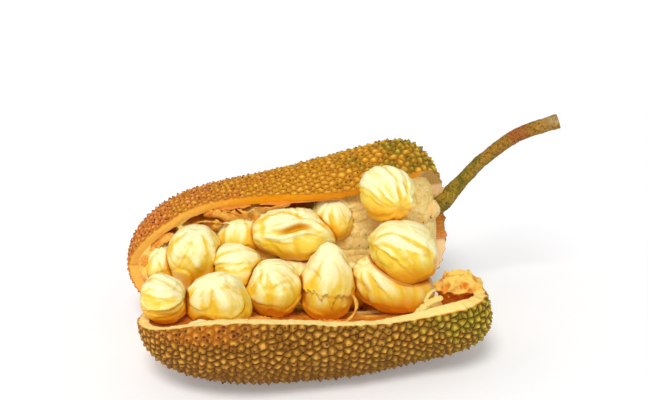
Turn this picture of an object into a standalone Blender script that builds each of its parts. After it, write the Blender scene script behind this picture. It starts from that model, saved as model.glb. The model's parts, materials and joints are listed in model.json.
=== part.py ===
"""An opened jackfruit: two halves of rind, the flesh that fills them, the core, the stem and the bulbs.

+X runs along the fruit towards its stem, +Z is up, and the hollow of the back half looks towards -Y. The front half
lies on its back on a flattened spot, whose middle is the origin. The back half stands behind it on its underside.
"""

import math

import bmesh
import bpy
import numpy as np
from mathutils import Vector

MM = 0.001

# Room left between two pieces that press each other, and between a piece and the bed cut for it.
GAP = 0.6 * MM
BED = 1 * MM

# Thickness of the rind with the flesh that stays on it.
WALL = 13 * MM

# Where the cross-sections of both halves are given, as a share of the half length: blossom end -1, stem end +1.
STATIONS = (-1, -0.6, -0.2, 0.2, 0.6, 1)

# Each half: its length, its radius and the height of its axis at the stations, and the angles where its wall starts
# and ends, measured about the axis from straight down towards the back. `blunt` shapes the two ends: 2 is an
# ellipse, and more is squarer. `lean` pushes the foot of the stem end outwards and draws its top in, as a share of
# its radius. `turn` is the half's turn about Z, and `middle` the place of its middle.
FRONT = {
    "length": 375 * MM,
    "radius": (87, 97, 90, 79, 70, 88),
    "height": (70, 93, 89, 78, 77, 86),
    "start": (-98, -98, -98, -98, -98, -98),
    "stop": (80, 66, 58, 54, 53, 60),
    "blunt": (3.0, 3.9),
    "lean": 0.36,
    "turn": 8,
    "middle": (0, -1 * MM),
}
BACK = {
    "length": 369 * MM,
    "radius": (80, 84, 87, 92, 95, 100),
    "height": (80, 82, 85, 92, 104, 119),
    "start": (-5, -5, -5, -5, -5, -5),
    "stop": (212, 198, 201, 212, 215, 207),
    "blunt": (3.5, 7.6),
    "lean": 0.15,
    "turn": 12,
    "middle": (-29 * MM, 131 * MM),
}

# Steps of the grids that the pieces are bent from: along and round.
RIND_STEPS = (26, 14)
FILLING_STEPS = (26, 20)
BULB_STEPS = (14, 10)
CORE_STEPS = (14, 16)

# Each bulb: the place of its middle, its half sizes across, in depth and along its own axis, all in millimetres, the
# lean of that axis in degrees (to the right of upright, as seen from the front), and how strongly its top narrows.
# The first thirteen show from the front. The others fill the front half behind its near rim, and the room behind
# the lower row.
BULBS = {
    "bulb_01": ((82, 73, 176), (30, 25, 34), -32, 0.10),
    "bulb_02": ((99, 50, 116), (35, 34, 42), -52, 0.08),
    "bulb_03": ((88, 49, 78), (48, 29, 32), 20, 0.0),
    "bulb_04": ((17, 42, 85), (30, 31, 44), 4, 0.30),
    "bulb_05": ((-41, 36, 79), (32, 31, 33), 0, 0.05),
    "bulb_06": ((-84, 58, 94), (28, 28, 30), -35, 0.22),
    "bulb_07": ((-101, -2, 82), (38, 29, 31), 12, 0.15),
    "bulb_08": ((-158, -14, 92), (26, 25, 28), -20, 0.06),
    "bulb_09": ((-132, 70, 102), (30, 31, 37), 14, -0.08),
    "bulb_10": ((-168, 86, 85), (18, 20, 26), 18, 0.10),
    "bulb_11": ((-84, 102, 112), (27, 25, 29), 4, 0.08),
    "bulb_12": ((-21, 89, 119), (47, 28, 29), 8, 0.05),
    "bulb_13": ((22, 112, 131), (26, 25, 27), 14, 0.12),
    "bulb_14": ((-116, -34, 54), (23, 22, 22), -30, 0.10),
    "bulb_15": ((-68, -40, 55), (24, 24, 23), 25, 0.12),
    "bulb_16": ((-20, -34, 50), (27, 24, 22), -10, 0.08),
    "bulb_17": ((32, -20, 43), (26, 23, 21), 20, 0.12),
    "bulb_18": ((84, 2, 41), (24, 17, 14), 0, 0.10),
    "bulb_19": ((-20, 82, 73), (30, 28, 27), 15, 0.10),
    "bulb_20": ((40, 94, 54), (29, 26, 28), -20, 0.08),
    "bulb_21": ((98, 106, 70), (30, 27, 26), 30, 0.10),
}

# The flesh that fills a half: how deep under the skin it begins, how many degrees it stops short of the wall's two
# edges, how much of its own outline lines the wall, and how far its open side swells in each half.
LINING = WALL + 2 * BED
LIP = 6
LINED = 0.55
FRONT_SWELL = -8 * MM
BACK_SWELL = 30 * MM

# How near the two tips of a half, as an angle along it, a direction square to its skin can still be taken.
TIP = 0.03

# The spongy core: points along it from the stem down to the blossom end, each with its radius.
CORE = (
    ((147, 157, 127), 15),
    ((120, 146, 120), 20),
    ((84, 135, 112), 24),
    ((40, 124, 103), 24),
    ((-10, 117, 96), 22),
    ((-60, 114, 90), 16),
)

# The stem: points along its middle, and its half thickness.
STEM = (
    (143, 158, 124),
    (152, 158, 132),
    (164, 160, 144),
    (178, 161, 159),
    (192, 162, 174),
    (206, 163, 188),
    (220, 164, 201),
    (234, 165, 210),
    (248, 166, 216),
    (264, 167, 221),
    (280, 168, 226),
)
STEM_RADIUS = 8.1 * MM

# Empty sockets that lost bulbs have left: middle and half sizes in millimetres.
FRONT_SOCKET = ((149, 6, 72), (19, 17, 26))
BACK_SOCKET = ((-8, 128, 142), (24, 34, 16))

# Torn end of the core in the front half: middle and half sizes.
TORN_CORE = ((156, 33, 80), (18, 13, 13))


def material(name, colour, roughness):
    """A plain material of one colour."""
    made = bpy.data.materials.new(name)
    made.use_nodes = True
    shader = made.node_tree.nodes["Principled BSDF"]
    shader.inputs["Base Color"].default_value = (*colour, 1)
    shader.inputs["Roughness"].default_value = roughness
    return made


def collection(name, hidden=False):
    """A collection in the scene, hidden from renders where it holds cutters."""
    made = bpy.data.collections.new(name)
    bpy.context.scene.collection.children.link(made)
    made.hide_render = hidden
    return made


def smooth(where, values):
    """A smooth curve through one value at each station: cubic Hermite, with slopes from the neighbours."""
    at = np.array(STATIONS, float)
    values = np.array(values, float)
    slopes = np.gradient(values, at)
    k = np.clip(np.searchsorted(at, where) - 1, 0, len(at) - 2)
    step = at[k + 1] - at[k]
    t = (where - at[k]) / step
    rise = (1 + 2 * t) * (1 - t) ** 2 * values[k] + t**2 * (3 - 2 * t) * values[k + 1]
    return rise + step * (t * (1 - t) ** 2 * slopes[k] - t**2 * (1 - t) * slopes[k + 1])


def skin(half, along, angle):
    """Points on the outside of a half. `along` is 0 to pi, from the blossom tip to the stem end."""
    share = -np.cos(along)
    power = np.where(share < 0, half["blunt"][0], half["blunt"][1])
    closing = np.sqrt(np.clip(1 - np.abs(share) ** power, 0, None))
    radius = smooth(share, half["radius"]) * closing * MM
    x = share * half["length"] / 2 + half["lean"] * radius * (np.cos(angle) + 0.5) * np.clip(share, 0, 1) ** 2
    y = radius * np.sin(angle)
    z = smooth(share, half["height"]) * MM - radius * np.cos(angle)
    turn = math.radians(half["turn"])
    across = x * math.sin(turn) + y * math.cos(turn) + half["middle"][1]
    return np.stack([x * math.cos(turn) - y * math.sin(turn) + half["middle"][0], across, np.maximum(z, 0)], -1)


def inset(half, along, angle, depth):
    """Points at a depth under the skin, measured square to it."""
    small = 1e-3
    along = np.clip(along, TIP, math.pi - TIP)
    here = skin(half, along, angle)
    down = skin(half, along + small, angle) - skin(half, along - small, angle)
    round_ = skin(half, along, angle + small) - skin(half, along, angle - small)
    normal = np.cross(round_, down)
    normal /= np.linalg.norm(normal, axis=-1, keepdims=True)
    return here - normal * depth


def edges(half, along):
    """The angles where the half's wall starts and stops, in radians."""
    share = -np.cos(along)
    return np.radians(smooth(share, half["start"])), np.radians(smooth(share, half["stop"]))


def wrapped(name, steps, formula, group, made_of, closed=True):
    """A grid primitive bent into a surface by formula(u, v), both 0 to 1. Points that meet are merged."""
    mesh = bpy.data.meshes.new(name)
    shape = bmesh.new()
    bmesh.ops.create_grid(shape, x_segments=steps[0], y_segments=steps[1], size=0.5)
    flat = np.array([vert.co for vert in shape.verts]) + 0.5
    for vert, place in zip(shape.verts, formula(flat[:, 0], flat[:, 1])):
        vert.co = place
    bmesh.ops.remove_doubles(shape, verts=shape.verts, dist=1e-5)
    bmesh.ops.dissolve_degenerate(shape, edges=shape.edges, dist=1e-6)
    if closed:
        bmesh.ops.recalc_face_normals(shape, faces=shape.faces)
    shape.to_mesh(mesh)
    shape.free()
    mesh.shade_smooth()
    mesh.materials.append(made_of)
    made = bpy.data.objects.new(name, mesh)
    group.objects.link(made)
    return made


def meet(one, other):
    """Whether the boxes round two objects overlap. Both still hold their places in their meshes."""
    boxes = []
    for thing in (one, other):
        points = np.array([vert.co for vert in thing.data.vertices])
        boxes.append((points.min(axis=0), points.max(axis=0)))
    (low, high), (other_low, other_high) = boxes
    return bool(np.all(low < other_high) and np.all(other_low < high))


def cut(target, cutter):
    """Takes the cutter's shape out of the target. The exact solver leaves open edges where beds meet in the flesh."""
    boolean = target.modifiers.new("cut_" + cutter.name, "BOOLEAN")
    boolean.object = cutter
    boolean.solver = "MANIFOLD"
    cutter.display_type = "WIRE"


def rind(name, half, group, made_of):
    """One half of the rind: an open sheet with the wall's thickness inwards."""

    def sheet(u, v):
        along = u * math.pi
        start, stop = edges(half, along)
        return skin(half, along, start + (stop - start) * v)

    made = wrapped(name, RIND_STEPS, sheet, group, made_of, closed=False)
    wall = made.modifiers.new("wall", "SOLIDIFY")
    wall.thickness = WALL
    wall.offset = 1
    return made


def filling(name, half, swell, low_down, group, made_of):
    """What fills a half: it lines the wall, and its open side is a sheet that swells at mid length by `swell`.

    The sheet runs from the wall's stop to its start, and with `low_down` over 1 it swells nearer to the start.
    """

    def body(u, v):
        along = u * math.pi
        start, stop = edges(half, along)
        low = start + math.radians(LIP)
        high = stop - math.radians(LIP)
        lining = inset(half, along, low + (high - low) * np.clip(v / LINED, 0, 1), LINING)
        first = inset(half, along, high, LINING)
        last = inset(half, along, low, LINING)
        t = np.clip((v - LINED) / (1 - LINED), 0, 1)[:, None]
        open_side = first + (last - first) * t
        rise = swell * np.sin(math.pi * t**low_down) * np.sin(along)[:, None]
        middle_angle = (low + high)[:, None] / 2
        turn = math.radians(half["turn"])
        outward = np.concatenate(
            [np.sin(middle_angle) * math.sin(turn), -np.sin(middle_angle) * math.cos(turn), np.cos(middle_angle)], 1
        )
        around = np.where(v[:, None] <= LINED, lining, open_side + outward * rise)
        tip = inset(half, along, (low + high) / 2, LINING)
        at_an_end = (np.abs(u - 0.5) > 0.4999)[:, None]
        return np.where(at_an_end, tip, around)

    return wrapped(name, FILLING_STEPS, body, group, made_of)


def bulb_axes(lean):
    """The bulb's own directions: across, depth and along."""
    a = math.radians(lean)
    return np.array([[math.cos(a), 0, -math.sin(a)], [0, 1, 0], [math.sin(a), 0, math.cos(a)]])


def bulb_form(direction, narrow):
    """How far the skin lies from the middle of the bulb, for directions in its own frame, as a share of its size."""
    height = direction[..., 2]
    return 1 - narrow * (1 - height**2) * height


def inside(points, row):
    """How far points lie from the middle of a bulb: 1 is on its skin."""
    place, sizes, lean, narrow = row
    own = (points - np.array(place) * MM) @ bulb_axes(lean).T / (np.array(sizes) * MM)
    far = np.linalg.norm(own, axis=-1)
    return far / bulb_form(own / np.maximum(far, 1e-9)[..., None], narrow)


def settle(points, name):
    """Pulls a bulb's skin in to where it meets its neighbours, so that they press each other flat."""
    row = BULBS[name]
    middle = np.array(row[0]) * MM
    room = GAP / (min(row[1]) * MM)
    low = np.full(len(points), 0.2)
    high = np.ones(len(points))
    for _ in range(16):
        share = (low + high) / 2
        at = middle + (points - middle) * share[:, None]
        clear = np.ones(len(points), bool)
        for other in BULBS:
            if other != name:
                clear &= inside(at, BULBS[other]) > share + room
        low = np.where(clear, share, low)
        high = np.where(clear, high, share)
    return middle + (points - middle) * low[:, None]


def bulb(name, group, made_of, grow=0.0):
    """One bulb, or with `grow` the larger shape that cuts its bed out of what it lies in."""
    place, sizes, lean, narrow = BULBS[name]

    def body(u, v):
        around = 2 * math.pi * u
        down = math.pi * v
        direction = np.stack([np.cos(around) * np.sin(down), np.sin(around) * np.sin(down), np.cos(down)], -1)
        far = bulb_form(direction, narrow)[:, None]
        own = direction * far * np.array(sizes) * MM
        settled = settle(own @ bulb_axes(lean) + np.array(place) * MM, name)
        middle = np.array(place) * MM
        out = settled - middle
        return settled + out / np.linalg.norm(out, axis=-1, keepdims=True) * grow

    suffix = "_bed" if grow else ""
    return wrapped(name + suffix, BULB_STEPS, body, group, made_of)


def core(name, group, made_of, grow=0.0):
    """The core: a rounded, tapering rod along its own points."""
    points = np.array([place for place, _ in CORE]) * MM
    radii = np.array([radius for _, radius in CORE]) * MM + grow
    at = np.linspace(0, 1, len(CORE))

    def line(t):
        return np.stack([np.interp(t, at, points[:, k]) for k in range(3)], -1)

    def body(u, v):
        t = (1 - np.cos(math.pi * v)) / 2
        middle = line(t)
        step = line(t + 0.05) - line(t - 0.05)
        tangent = step / np.linalg.norm(step, axis=-1, keepdims=True)
        side = np.cross(tangent, [0, 0, 1])
        side /= np.linalg.norm(side, axis=-1, keepdims=True)
        up = np.cross(side, tangent)
        radius = np.interp(t, at, radii) * np.sqrt(np.clip(np.sin(math.pi * v), 0, None))
        around = 2 * math.pi * u
        wide = side * (radius * np.cos(around))[:, None]
        return middle + wide + up * (radius * np.sin(around))[:, None]

    return wrapped(name, CORE_STEPS, body, group, made_of)


def ball(name, place, sizes, group, made_of):
    """A sphere primitive stretched to its half sizes."""
    mesh = bpy.data.meshes.new(name)
    shape = bmesh.new()
    bmesh.ops.create_uvsphere(shape, u_segments=18, v_segments=11, radius=1)
    for vert in shape.verts:
        vert.co = Vector(co * size * MM + at * MM for co, size, at in zip(vert.co, sizes, place))
    shape.to_mesh(mesh)
    shape.free()
    mesh.shade_smooth()
    mesh.materials.append(made_of)
    made = bpy.data.objects.new(name, mesh)
    group.objects.link(made)
    return made


def rod(name, points, radius, group, made_of):
    """A round rod along points, as a mesh with welded caps."""
    curve = bpy.data.curves.new(name, "CURVE")
    curve.dimensions = "3D"
    curve.bevel_depth = radius
    curve.bevel_resolution = 4
    curve.use_fill_caps = True
    line = curve.splines.new("POLY")
    line.points.add(len(points) - 1)
    for point, place in zip(line.points, points):
        point.co = (*(value * MM for value in place), 1)
    guide = bpy.data.objects.new(name + "_guide", curve)
    bpy.context.scene.collection.objects.link(guide)
    bpy.context.view_layer.update()
    mesh = bpy.data.meshes.new_from_object(guide.evaluated_get(bpy.context.evaluated_depsgraph_get()))
    bpy.data.objects.remove(guide)
    shape = bmesh.new()
    shape.from_mesh(mesh)
    bmesh.ops.remove_doubles(shape, verts=shape.verts, dist=1e-6)
    shape.to_mesh(mesh)
    shape.free()
    mesh.name = name
    mesh.materials.clear()
    mesh.materials.append(made_of)
    made = bpy.data.objects.new(name, mesh)
    group.objects.link(made)
    return made


def main():
    for thing in list(bpy.data.objects):
        bpy.data.objects.remove(thing)
    fruit = collection("jackfruit")
    cutters = collection("cutters", hidden=True)

    skin_brown = material("rind", (0.36, 0.20, 0.05), 0.75)
    flesh = material("rag", (0.85, 0.50, 0.12), 0.7)
    yellow = material("bulb", (0.95, 0.72, 0.22), 0.4)
    spongy = material("core", (0.80, 0.52, 0.26), 0.8)
    olive = material("stem", (0.30, 0.26, 0.06), 0.7)

    rind_front = rind("rind_front", FRONT, fruit, skin_brown)
    rind_back = rind("rind_back", BACK, fruit, skin_brown)
    rag_front = filling("rag_front", FRONT, FRONT_SWELL, 1, fruit, flesh)
    rag_back = filling("rag_back", BACK, BACK_SWELL, 1.8, fruit, flesh)
    middle = core("core", fruit, spongy)
    core_bed = core("core_bed", cutters, spongy, grow=BED)
    torn = ball("torn_core", *TORN_CORE, fruit, spongy)
    torn_bed = ball("torn_core_bed", TORN_CORE[0], [size + BED / MM for size in TORN_CORE[1]], cutters, spongy)
    rod("stem", STEM, STEM_RADIUS, fruit, olive)
    stem_bed = rod("stem_bed", STEM, STEM_RADIUS + BED, cutters, olive)
    front_socket = ball("front_socket", *FRONT_SOCKET, cutters, flesh)
    back_socket = ball("back_socket", *BACK_SOCKET, cutters, flesh)

    cut(rag_back, core_bed)
    cut(rind_back, core_bed)
    for piece in (rind_back, rag_back, middle):
        cut(piece, stem_bed)
    for name in BULBS:
        bulb(name, fruit, yellow)
        bed = bulb(name, cutters, yellow, grow=BED)
        for piece in (rag_front, rag_back, middle):
            if meet(piece, bed):
                cut(piece, bed)
    cut(rag_front, torn_bed)
    cut(rag_front, front_socket)
    cut(rag_back, back_socket)


main()
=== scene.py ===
# %% [markdown]
# # An opened jackfruit
# A ripe jackfruit has been split along its length and folded open. Two halves of spiny rind lie on a table: the
# front one on its back, the other behind it, tipped over the bulbs. Between them sit the plump yellow bulbs that
# people eat, the fibrous flesh that held them, the spongy core and the stem.
#
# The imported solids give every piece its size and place. The steps below dress each of them with a finer surface.

# %% Load the frame
import json
import math

import bmesh
import bpy
import numpy as np
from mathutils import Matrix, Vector

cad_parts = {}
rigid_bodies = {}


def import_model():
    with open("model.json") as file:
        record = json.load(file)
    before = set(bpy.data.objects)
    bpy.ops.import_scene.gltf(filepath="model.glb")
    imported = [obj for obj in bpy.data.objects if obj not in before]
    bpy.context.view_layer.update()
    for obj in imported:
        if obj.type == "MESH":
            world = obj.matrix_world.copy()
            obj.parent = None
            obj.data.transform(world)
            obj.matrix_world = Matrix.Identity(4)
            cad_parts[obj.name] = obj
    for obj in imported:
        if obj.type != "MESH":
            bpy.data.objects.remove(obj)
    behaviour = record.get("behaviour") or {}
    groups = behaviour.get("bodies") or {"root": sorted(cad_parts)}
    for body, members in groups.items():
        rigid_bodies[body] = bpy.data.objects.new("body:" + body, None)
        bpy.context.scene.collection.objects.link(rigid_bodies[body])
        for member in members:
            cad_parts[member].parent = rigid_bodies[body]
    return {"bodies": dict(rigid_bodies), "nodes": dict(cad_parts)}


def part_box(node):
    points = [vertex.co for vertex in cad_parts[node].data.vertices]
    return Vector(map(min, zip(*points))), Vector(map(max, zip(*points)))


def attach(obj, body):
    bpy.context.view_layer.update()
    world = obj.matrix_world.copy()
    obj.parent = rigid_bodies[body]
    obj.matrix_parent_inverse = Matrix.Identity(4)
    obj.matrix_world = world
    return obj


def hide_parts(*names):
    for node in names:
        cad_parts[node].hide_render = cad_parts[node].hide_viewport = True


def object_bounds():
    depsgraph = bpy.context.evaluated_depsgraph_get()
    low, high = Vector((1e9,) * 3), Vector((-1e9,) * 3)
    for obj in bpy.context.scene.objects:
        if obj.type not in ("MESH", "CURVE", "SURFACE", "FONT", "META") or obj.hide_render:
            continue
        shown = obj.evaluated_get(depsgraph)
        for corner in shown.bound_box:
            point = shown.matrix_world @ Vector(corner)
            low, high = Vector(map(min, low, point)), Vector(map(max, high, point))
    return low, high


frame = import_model()
cad_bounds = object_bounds()
BODY = next(iter(frame["bodies"]))
print("pieces in the frame:", len(frame["nodes"]), "riding on", BODY)

# %% [markdown]
# ## Units and directions
# Everything is in metres, as Blender likes it, and lengths are written in millimetres times `MM`. The fruit runs
# along X with its stem towards +X, and the opened side looks towards -Y, where the camera stands.

# %% Units
MM = 0.001
WALL = 13 * MM
box_low, box_high = np.array(cad_bounds)
print("the fruit is", np.round((box_high - box_low) / MM), "mm long, deep and high")

# %% [markdown]
# ## Camera
# A long lens from about 1.6 metres away and 23 degrees above the table keeps the two halves from looking wedge
# shaped. The camera turns towards a target point above the middle of the fruit.

# %% Camera
TARGET = np.array((13, 46, 180)) * MM
ELEVATION = math.radians(23)
DISTANCE = 1.65


def show(name, data):
    """An object that stands in the scene."""
    made = bpy.data.objects.new(name, data)
    bpy.context.scene.collection.objects.link(made)
    return made


camera = show("camera", bpy.data.cameras.new("camera"))
camera.data.lens = 85
camera.data.sensor_width = 36
camera.data.clip_start = 0.05
camera.location = TARGET + DISTANCE * np.array((0, -math.cos(ELEVATION), math.sin(ELEVATION)))
camera.rotation_euler = (math.pi / 2 - ELEVATION, 0, 0)
bpy.context.scene.camera = camera
print("camera at", np.round(camera.location, 3))

# %% [markdown]
# ## Light
# Food is often shown in a bright white room under one large soft light. Here a broad sun stands high up on the
# camera's side, so the tops shine, the undersides go deep orange and the shadow gathers under the fruit. Two weaker
# ones fill it in, one low from the front and one from the left. Each sun holds the way its light runs, its strength
# and its spread in degrees. The Standard view keeps yellows as bright as they are.

# %% Lights
SUNS = {
    "key": ((0.12, 0.7, -1.0), 1.85, 22),
    "fill": ((0.05, 1.0, -0.3), 0.5, 60),
    "side": ((0.9, 0.2, -0.8), 0.25, 40),
}
ROOM_LIGHT = 0.38

for name, (ahead, strength, spread) in SUNS.items():
    sun = show(name, bpy.data.lights.new(name, "SUN"))
    sun.data.energy = strength
    sun.data.angle = math.radians(spread)
    sun.rotation_euler = Vector(ahead).to_track_quat("-Z", "Y").to_euler()

world = bpy.data.worlds.new("room")
world.use_nodes = True
world.node_tree.nodes["Background"].inputs["Color"].default_value = (1, 1, 1, 1)
world.node_tree.nodes["Background"].inputs["Strength"].default_value = ROOM_LIGHT
bpy.context.scene.world = world
bpy.context.scene.view_settings.view_transform = "Standard"
bpy.context.scene.view_settings.look = "None"
bpy.context.scene.view_settings.exposure = 0.0

# %% [markdown]
# ## Random hills
# Natural things are uneven at every size. A lattice of random numbers, blended smoothly between its points, gives
# hills of one size, and several such layers, each half the size of the last, give an uneven surface. The numbers
# come from the lattice point itself, so every run gives the same fruit.


# %% Uneven surfaces
def scatter(cells, seed):
    """A repeatable random number from 0 to 1 for each cell: its three whole numbers times large odd ones, folded."""
    mixed = cells[..., 0] * 374761393 + cells[..., 1] * 668265263 + cells[..., 2] * 1440662683 + seed * 1274126177
    mixed = (mixed ^ (mixed >> 13)) * 1103515245
    mixed = (mixed ^ (mixed >> 16)) * 2654435769
    return ((mixed >> 8) & 0xFFFFFF) / float(0xFFFFFF)


def hills(points, size, seed):
    """Smooth hills from -1 to 1: the eight lattice numbers round a point, blended by how near each is."""
    at = np.asarray(points, float) / size
    low = np.floor(at).astype(np.int64)
    part = at - low
    part = part * part * (3 - 2 * part)
    total = 0
    for corner in np.ndindex(2, 2, 2):
        weight = np.prod(np.where(corner, part, 1 - part), axis=-1)
        total = total + weight * scatter(low + np.array(corner), seed)
    return 2 * total - 1


def rough(points, size, seed, layers=3):
    """Hills on hills: each layer half the size and half the height of the one before."""
    return sum(hills(points, size / 2**k, seed + k) / 2**k for k in range(layers)) / (2 - 2 ** (1 - layers))


def crests(points, size, seed):
    """Hills with sharp tops, from -1 to 1: one less twice the distance from the hills' middle height."""
    return 1 - 2 * np.abs(hills(points, size, seed))


def ease(low, high, value):
    """0 below `low`, 1 above `high`, and a smooth rise between them."""
    t = np.clip((value - low) / (high - low), 0, 1)
    return t * t * (3 - 2 * t)


def bell(far, width):
    """1 where `far` is 0, falling off on both sides over a width: e to the power of minus (far / width) squared."""
    return np.exp(-((far / width) ** 2))


def through(points, t):
    """A smooth curve through evenly spaced points, with its slope at each one taken from its two neighbours."""
    points = np.array(points, float)
    slopes = np.gradient(points, axis=0)
    at = t * (len(points) - 1)
    k = np.clip(np.floor(at).astype(int), 0, len(points) - 2)
    s = (at - k)[(..., *[None] * (points.ndim - 1))]
    rise = (1 + 2 * s) * (1 - s) ** 2 * points[k] + s**2 * (3 - 2 * s) * points[k + 1]
    return rise + s * (1 - s) ** 2 * slopes[k] - s**2 * (1 - s) * slopes[k + 1]


print("a sample of hills:", np.round(rough(np.array([[0, 0, 0], [0.01, 0.02, 0.03]]), 0.02, 1), 2))

# %% [markdown]
# ## From numbers to a mesh
# Each surface below is worked out as one array of points, in rows and columns. One function turns any such array
# into a mesh: it joins neighbours with four-sided faces, merges the points that meet at seams and tips, and turns
# the faces outwards. Numbers that a finish needs, such as how deep a groove is, go along as attributes.


# %% Mesh from grids of points
SAME_POINT = 2e-6
NO_LENGTH = 1e-7


def grid_mesh(name, points, values):
    """Quads between neighbours of each grid (rows, columns, 3), one UV map, and an attribute for each value. Points
    may hold one grid or many of one size, and a value may be a number or three numbers for each point."""
    grids = points.reshape(-1, *points.shape[-3:])
    count, rows, columns = grids.shape[:3]
    number = np.arange(count * rows * columns).reshape(count, rows, columns)
    quads = np.stack([number[:, :-1, :-1], number[:, 1:, :-1], number[:, 1:, 1:], number[:, :-1, 1:]], -1)
    quads = quads.reshape(count, -1, 4)
    flat = grids.reshape(-1, 3)
    corners = flat[quads]
    upright = np.cross(corners[:, :, 2] - corners[:, :, 0], corners[:, :, 3] - corners[:, :, 1])
    out = corners.mean(axis=2) - grids.mean(axis=(1, 2))[:, None]
    facing_in = np.sum(upright * out, axis=(1, 2)) < 0
    quads = np.where(facing_in[:, None, None], quads[..., ::-1], quads).reshape(-1, 4)

    mesh = bpy.data.meshes.new(name)
    mesh.vertices.add(len(flat))
    mesh.vertices.foreach_set("co", flat.astype(np.float32).ravel())
    mesh.loops.add(quads.size)
    mesh.loops.foreach_set("vertex_index", quads.astype(np.int32).ravel())
    mesh.polygons.add(len(quads))
    mesh.polygons.foreach_set("loop_start", np.arange(0, quads.size, 4, dtype=np.int32))
    mesh.update(calc_edges=True)

    order, down, across = np.meshgrid(
        np.arange(count) / count, np.linspace(0, 1, rows), np.linspace(0, 1, columns) / count, indexing="ij"
    )
    flat_map = np.stack([(order + across).ravel(), down.ravel()], -1)[quads.ravel()]
    mesh.uv_layers.new(name="surface").data.foreach_set("uv", flat_map.astype(np.float32).ravel())
    for key, value in values.items():
        three = np.ndim(value) == points.ndim
        layer = mesh.attributes.new(key, "FLOAT_VECTOR" if three else "FLOAT", "POINT")
        every = np.broadcast_to(value, points.shape if three else points.shape[:-1])
        layer.data.foreach_set("vector" if three else "value", every.astype(np.float32).ravel())

    shape = bmesh.new()
    shape.from_mesh(mesh)
    bmesh.ops.remove_doubles(shape, verts=shape.verts, dist=SAME_POINT)
    bmesh.ops.dissolve_degenerate(shape, edges=shape.edges, dist=NO_LENGTH)
    shape.to_mesh(mesh)
    shape.free()
    mesh.shade_smooth()
    return mesh


def piece(name, grid, finish, slot, *nodes):
    """A finished piece of the fruit: it rides on the fruit's body and stands for these solids of the frame."""
    mesh = grid_mesh(name, *grid)
    mesh.materials.append(finish)
    made = show(name, mesh)
    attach(made, BODY)
    if nodes:
        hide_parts(*nodes)
    print(name, len(mesh.polygons), "faces")


def pinched(points):
    """A grid whose first and last rows are drawn together, each to one point."""
    points[[0, -1]] = points[[0, -1]].mean(axis=1, keepdims=True)
    return points


def pushed(points, direction, by):
    """Points moved along a direction, each by its own distance."""
    return points + direction * by[..., None]


def ball(rows, columns):
    """The directions from a ball's middle to its points: rings about Z, from the upper pole to the lower one."""
    down = np.linspace(0, math.pi, rows + 1)[:, None]
    around = np.linspace(0, 2 * math.pi, columns + 1)
    rings = np.cos(around) * np.sin(down), np.sin(around) * np.sin(down), np.cos(down)
    return np.stack(np.broadcast_arrays(*rings), -1)


print("a ball of 4 by 8 faces has", ball(4, 8).shape[:2], "rows and columns of points")

# %% [markdown]
# ## Finishes as sums
# A material is a web of small nodes. To keep it readable, a small class wraps a node's output, and the usual signs
# add the Math nodes. Any other node comes from one method that takes its type, its settings and its inputs. A finish
# is then a stack of coats, each with a mask that says where it shows.


# %% Shader sums
def paint(*screen):
    """A screen colour, 0 to 255, as the linear numbers that a shader takes."""
    return [c / 255 / 12.92 if c < 10 else ((c / 255 + 0.055) / 1.055) ** 2.4 for c in screen]


class Value:
    """A number or a colour inside a material."""

    def __init__(self, finish, socket):
        self.finish = finish
        self.socket = socket

    def math(self, operation, first, second):
        return self.finish.node("ShaderNodeMath", {"operation": operation}, [first, second])

    def __add__(self, other):
        return self.math("ADD", self, other)

    def __mul__(self, other):
        return self.math("MULTIPLY", self, other)

    def __sub__(self, other):
        return self.math("SUBTRACT", self, other)

    def __rsub__(self, other):
        return self.math("SUBTRACT", other, self)

    __radd__ = __add__
    __rmul__ = __mul__

    def rise(self, low, high):
        """0 where the value is below `low`, 1 above `high`, with a smooth rise between."""
        inputs = {"Value": self, "From Min": low, "From Max": high}
        return self.finish.node("ShaderNodeMapRange", {"interpolation_type": "SMOOTHSTEP"}, inputs)


class Finish:
    """A material built from sums of values."""

    def __init__(self, name, **constants):
        self.material = bpy.data.materials.new(name)
        self.material.use_nodes = True
        self.tree = self.material.node_tree
        self.shader = self.tree.nodes["Principled BSDF"]
        for key, value in constants.items():
            self.feed(self.shader.inputs[key.replace("_", " ")], value)

    def feed(self, socket, value):
        if isinstance(value, Value):
            self.tree.links.new(value.socket, socket)
        else:
            socket.default_value = (*value, 1) if socket.type == "RGBA" else value

    def node(self, kind, settings=None, inputs=(), output=0):
        """Any node: its type, its settings, and the values or links of its sockets, by name or in order."""
        made = self.tree.nodes.new(kind)
        for key, value in (settings or {}).items():
            setattr(made, key, value)
        for key, value in inputs.items() if isinstance(inputs, dict) else enumerate(inputs):
            self.feed(made.inputs[key], value)
        return Value(self, made.outputs[output])

    def carried(self, name, output=2):
        """A value that the mesh carries: output 2 is one number, and output 1 is three."""
        return self.node("ShaderNodeAttribute", {"attribute_name": name}, output=output)

    def place(self, scale=(1, 1, 1)):
        """Where a point lies in the object, stretched along each axis."""
        here = self.node("ShaderNodeTexCoord", output=3)
        return self.node("ShaderNodeMapping", {}, {"Vector": here, "Scale": scale})

    def noise(self, at, scale, detail, roughness=0.55):
        inputs = {"Vector": at, "Scale": scale, "Detail": detail, "Roughness": roughness}
        return self.node("ShaderNodeTexNoise", {}, inputs)

    def coats(self, colour, *coats):
        """Coats laid over a colour, one after another: how much of each shows, and its colour."""
        for mask, coat in coats:
            under, over = (c if isinstance(c, Value) else paint(*c) for c in (colour, coat))
            colour = self.node("ShaderNodeMix", {"data_type": "RGBA"}, {0: mask, 6: under, 7: over}, output=2)
        return colour

    def finish(self, colour, roughness, height, depth):
        """Links the three things that vary over a surface: its colour, its roughness and its fine relief."""
        self.feed(self.shader.inputs["Base Color"], colour)
        self.feed(self.shader.inputs["Roughness"], roughness)
        relief = self.node("ShaderNodeBump", {}, {"Height": height, "Distance": depth, "Strength": 1.0})
        self.feed(self.shader.inputs["Normal"], relief)
        return self.material


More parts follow.
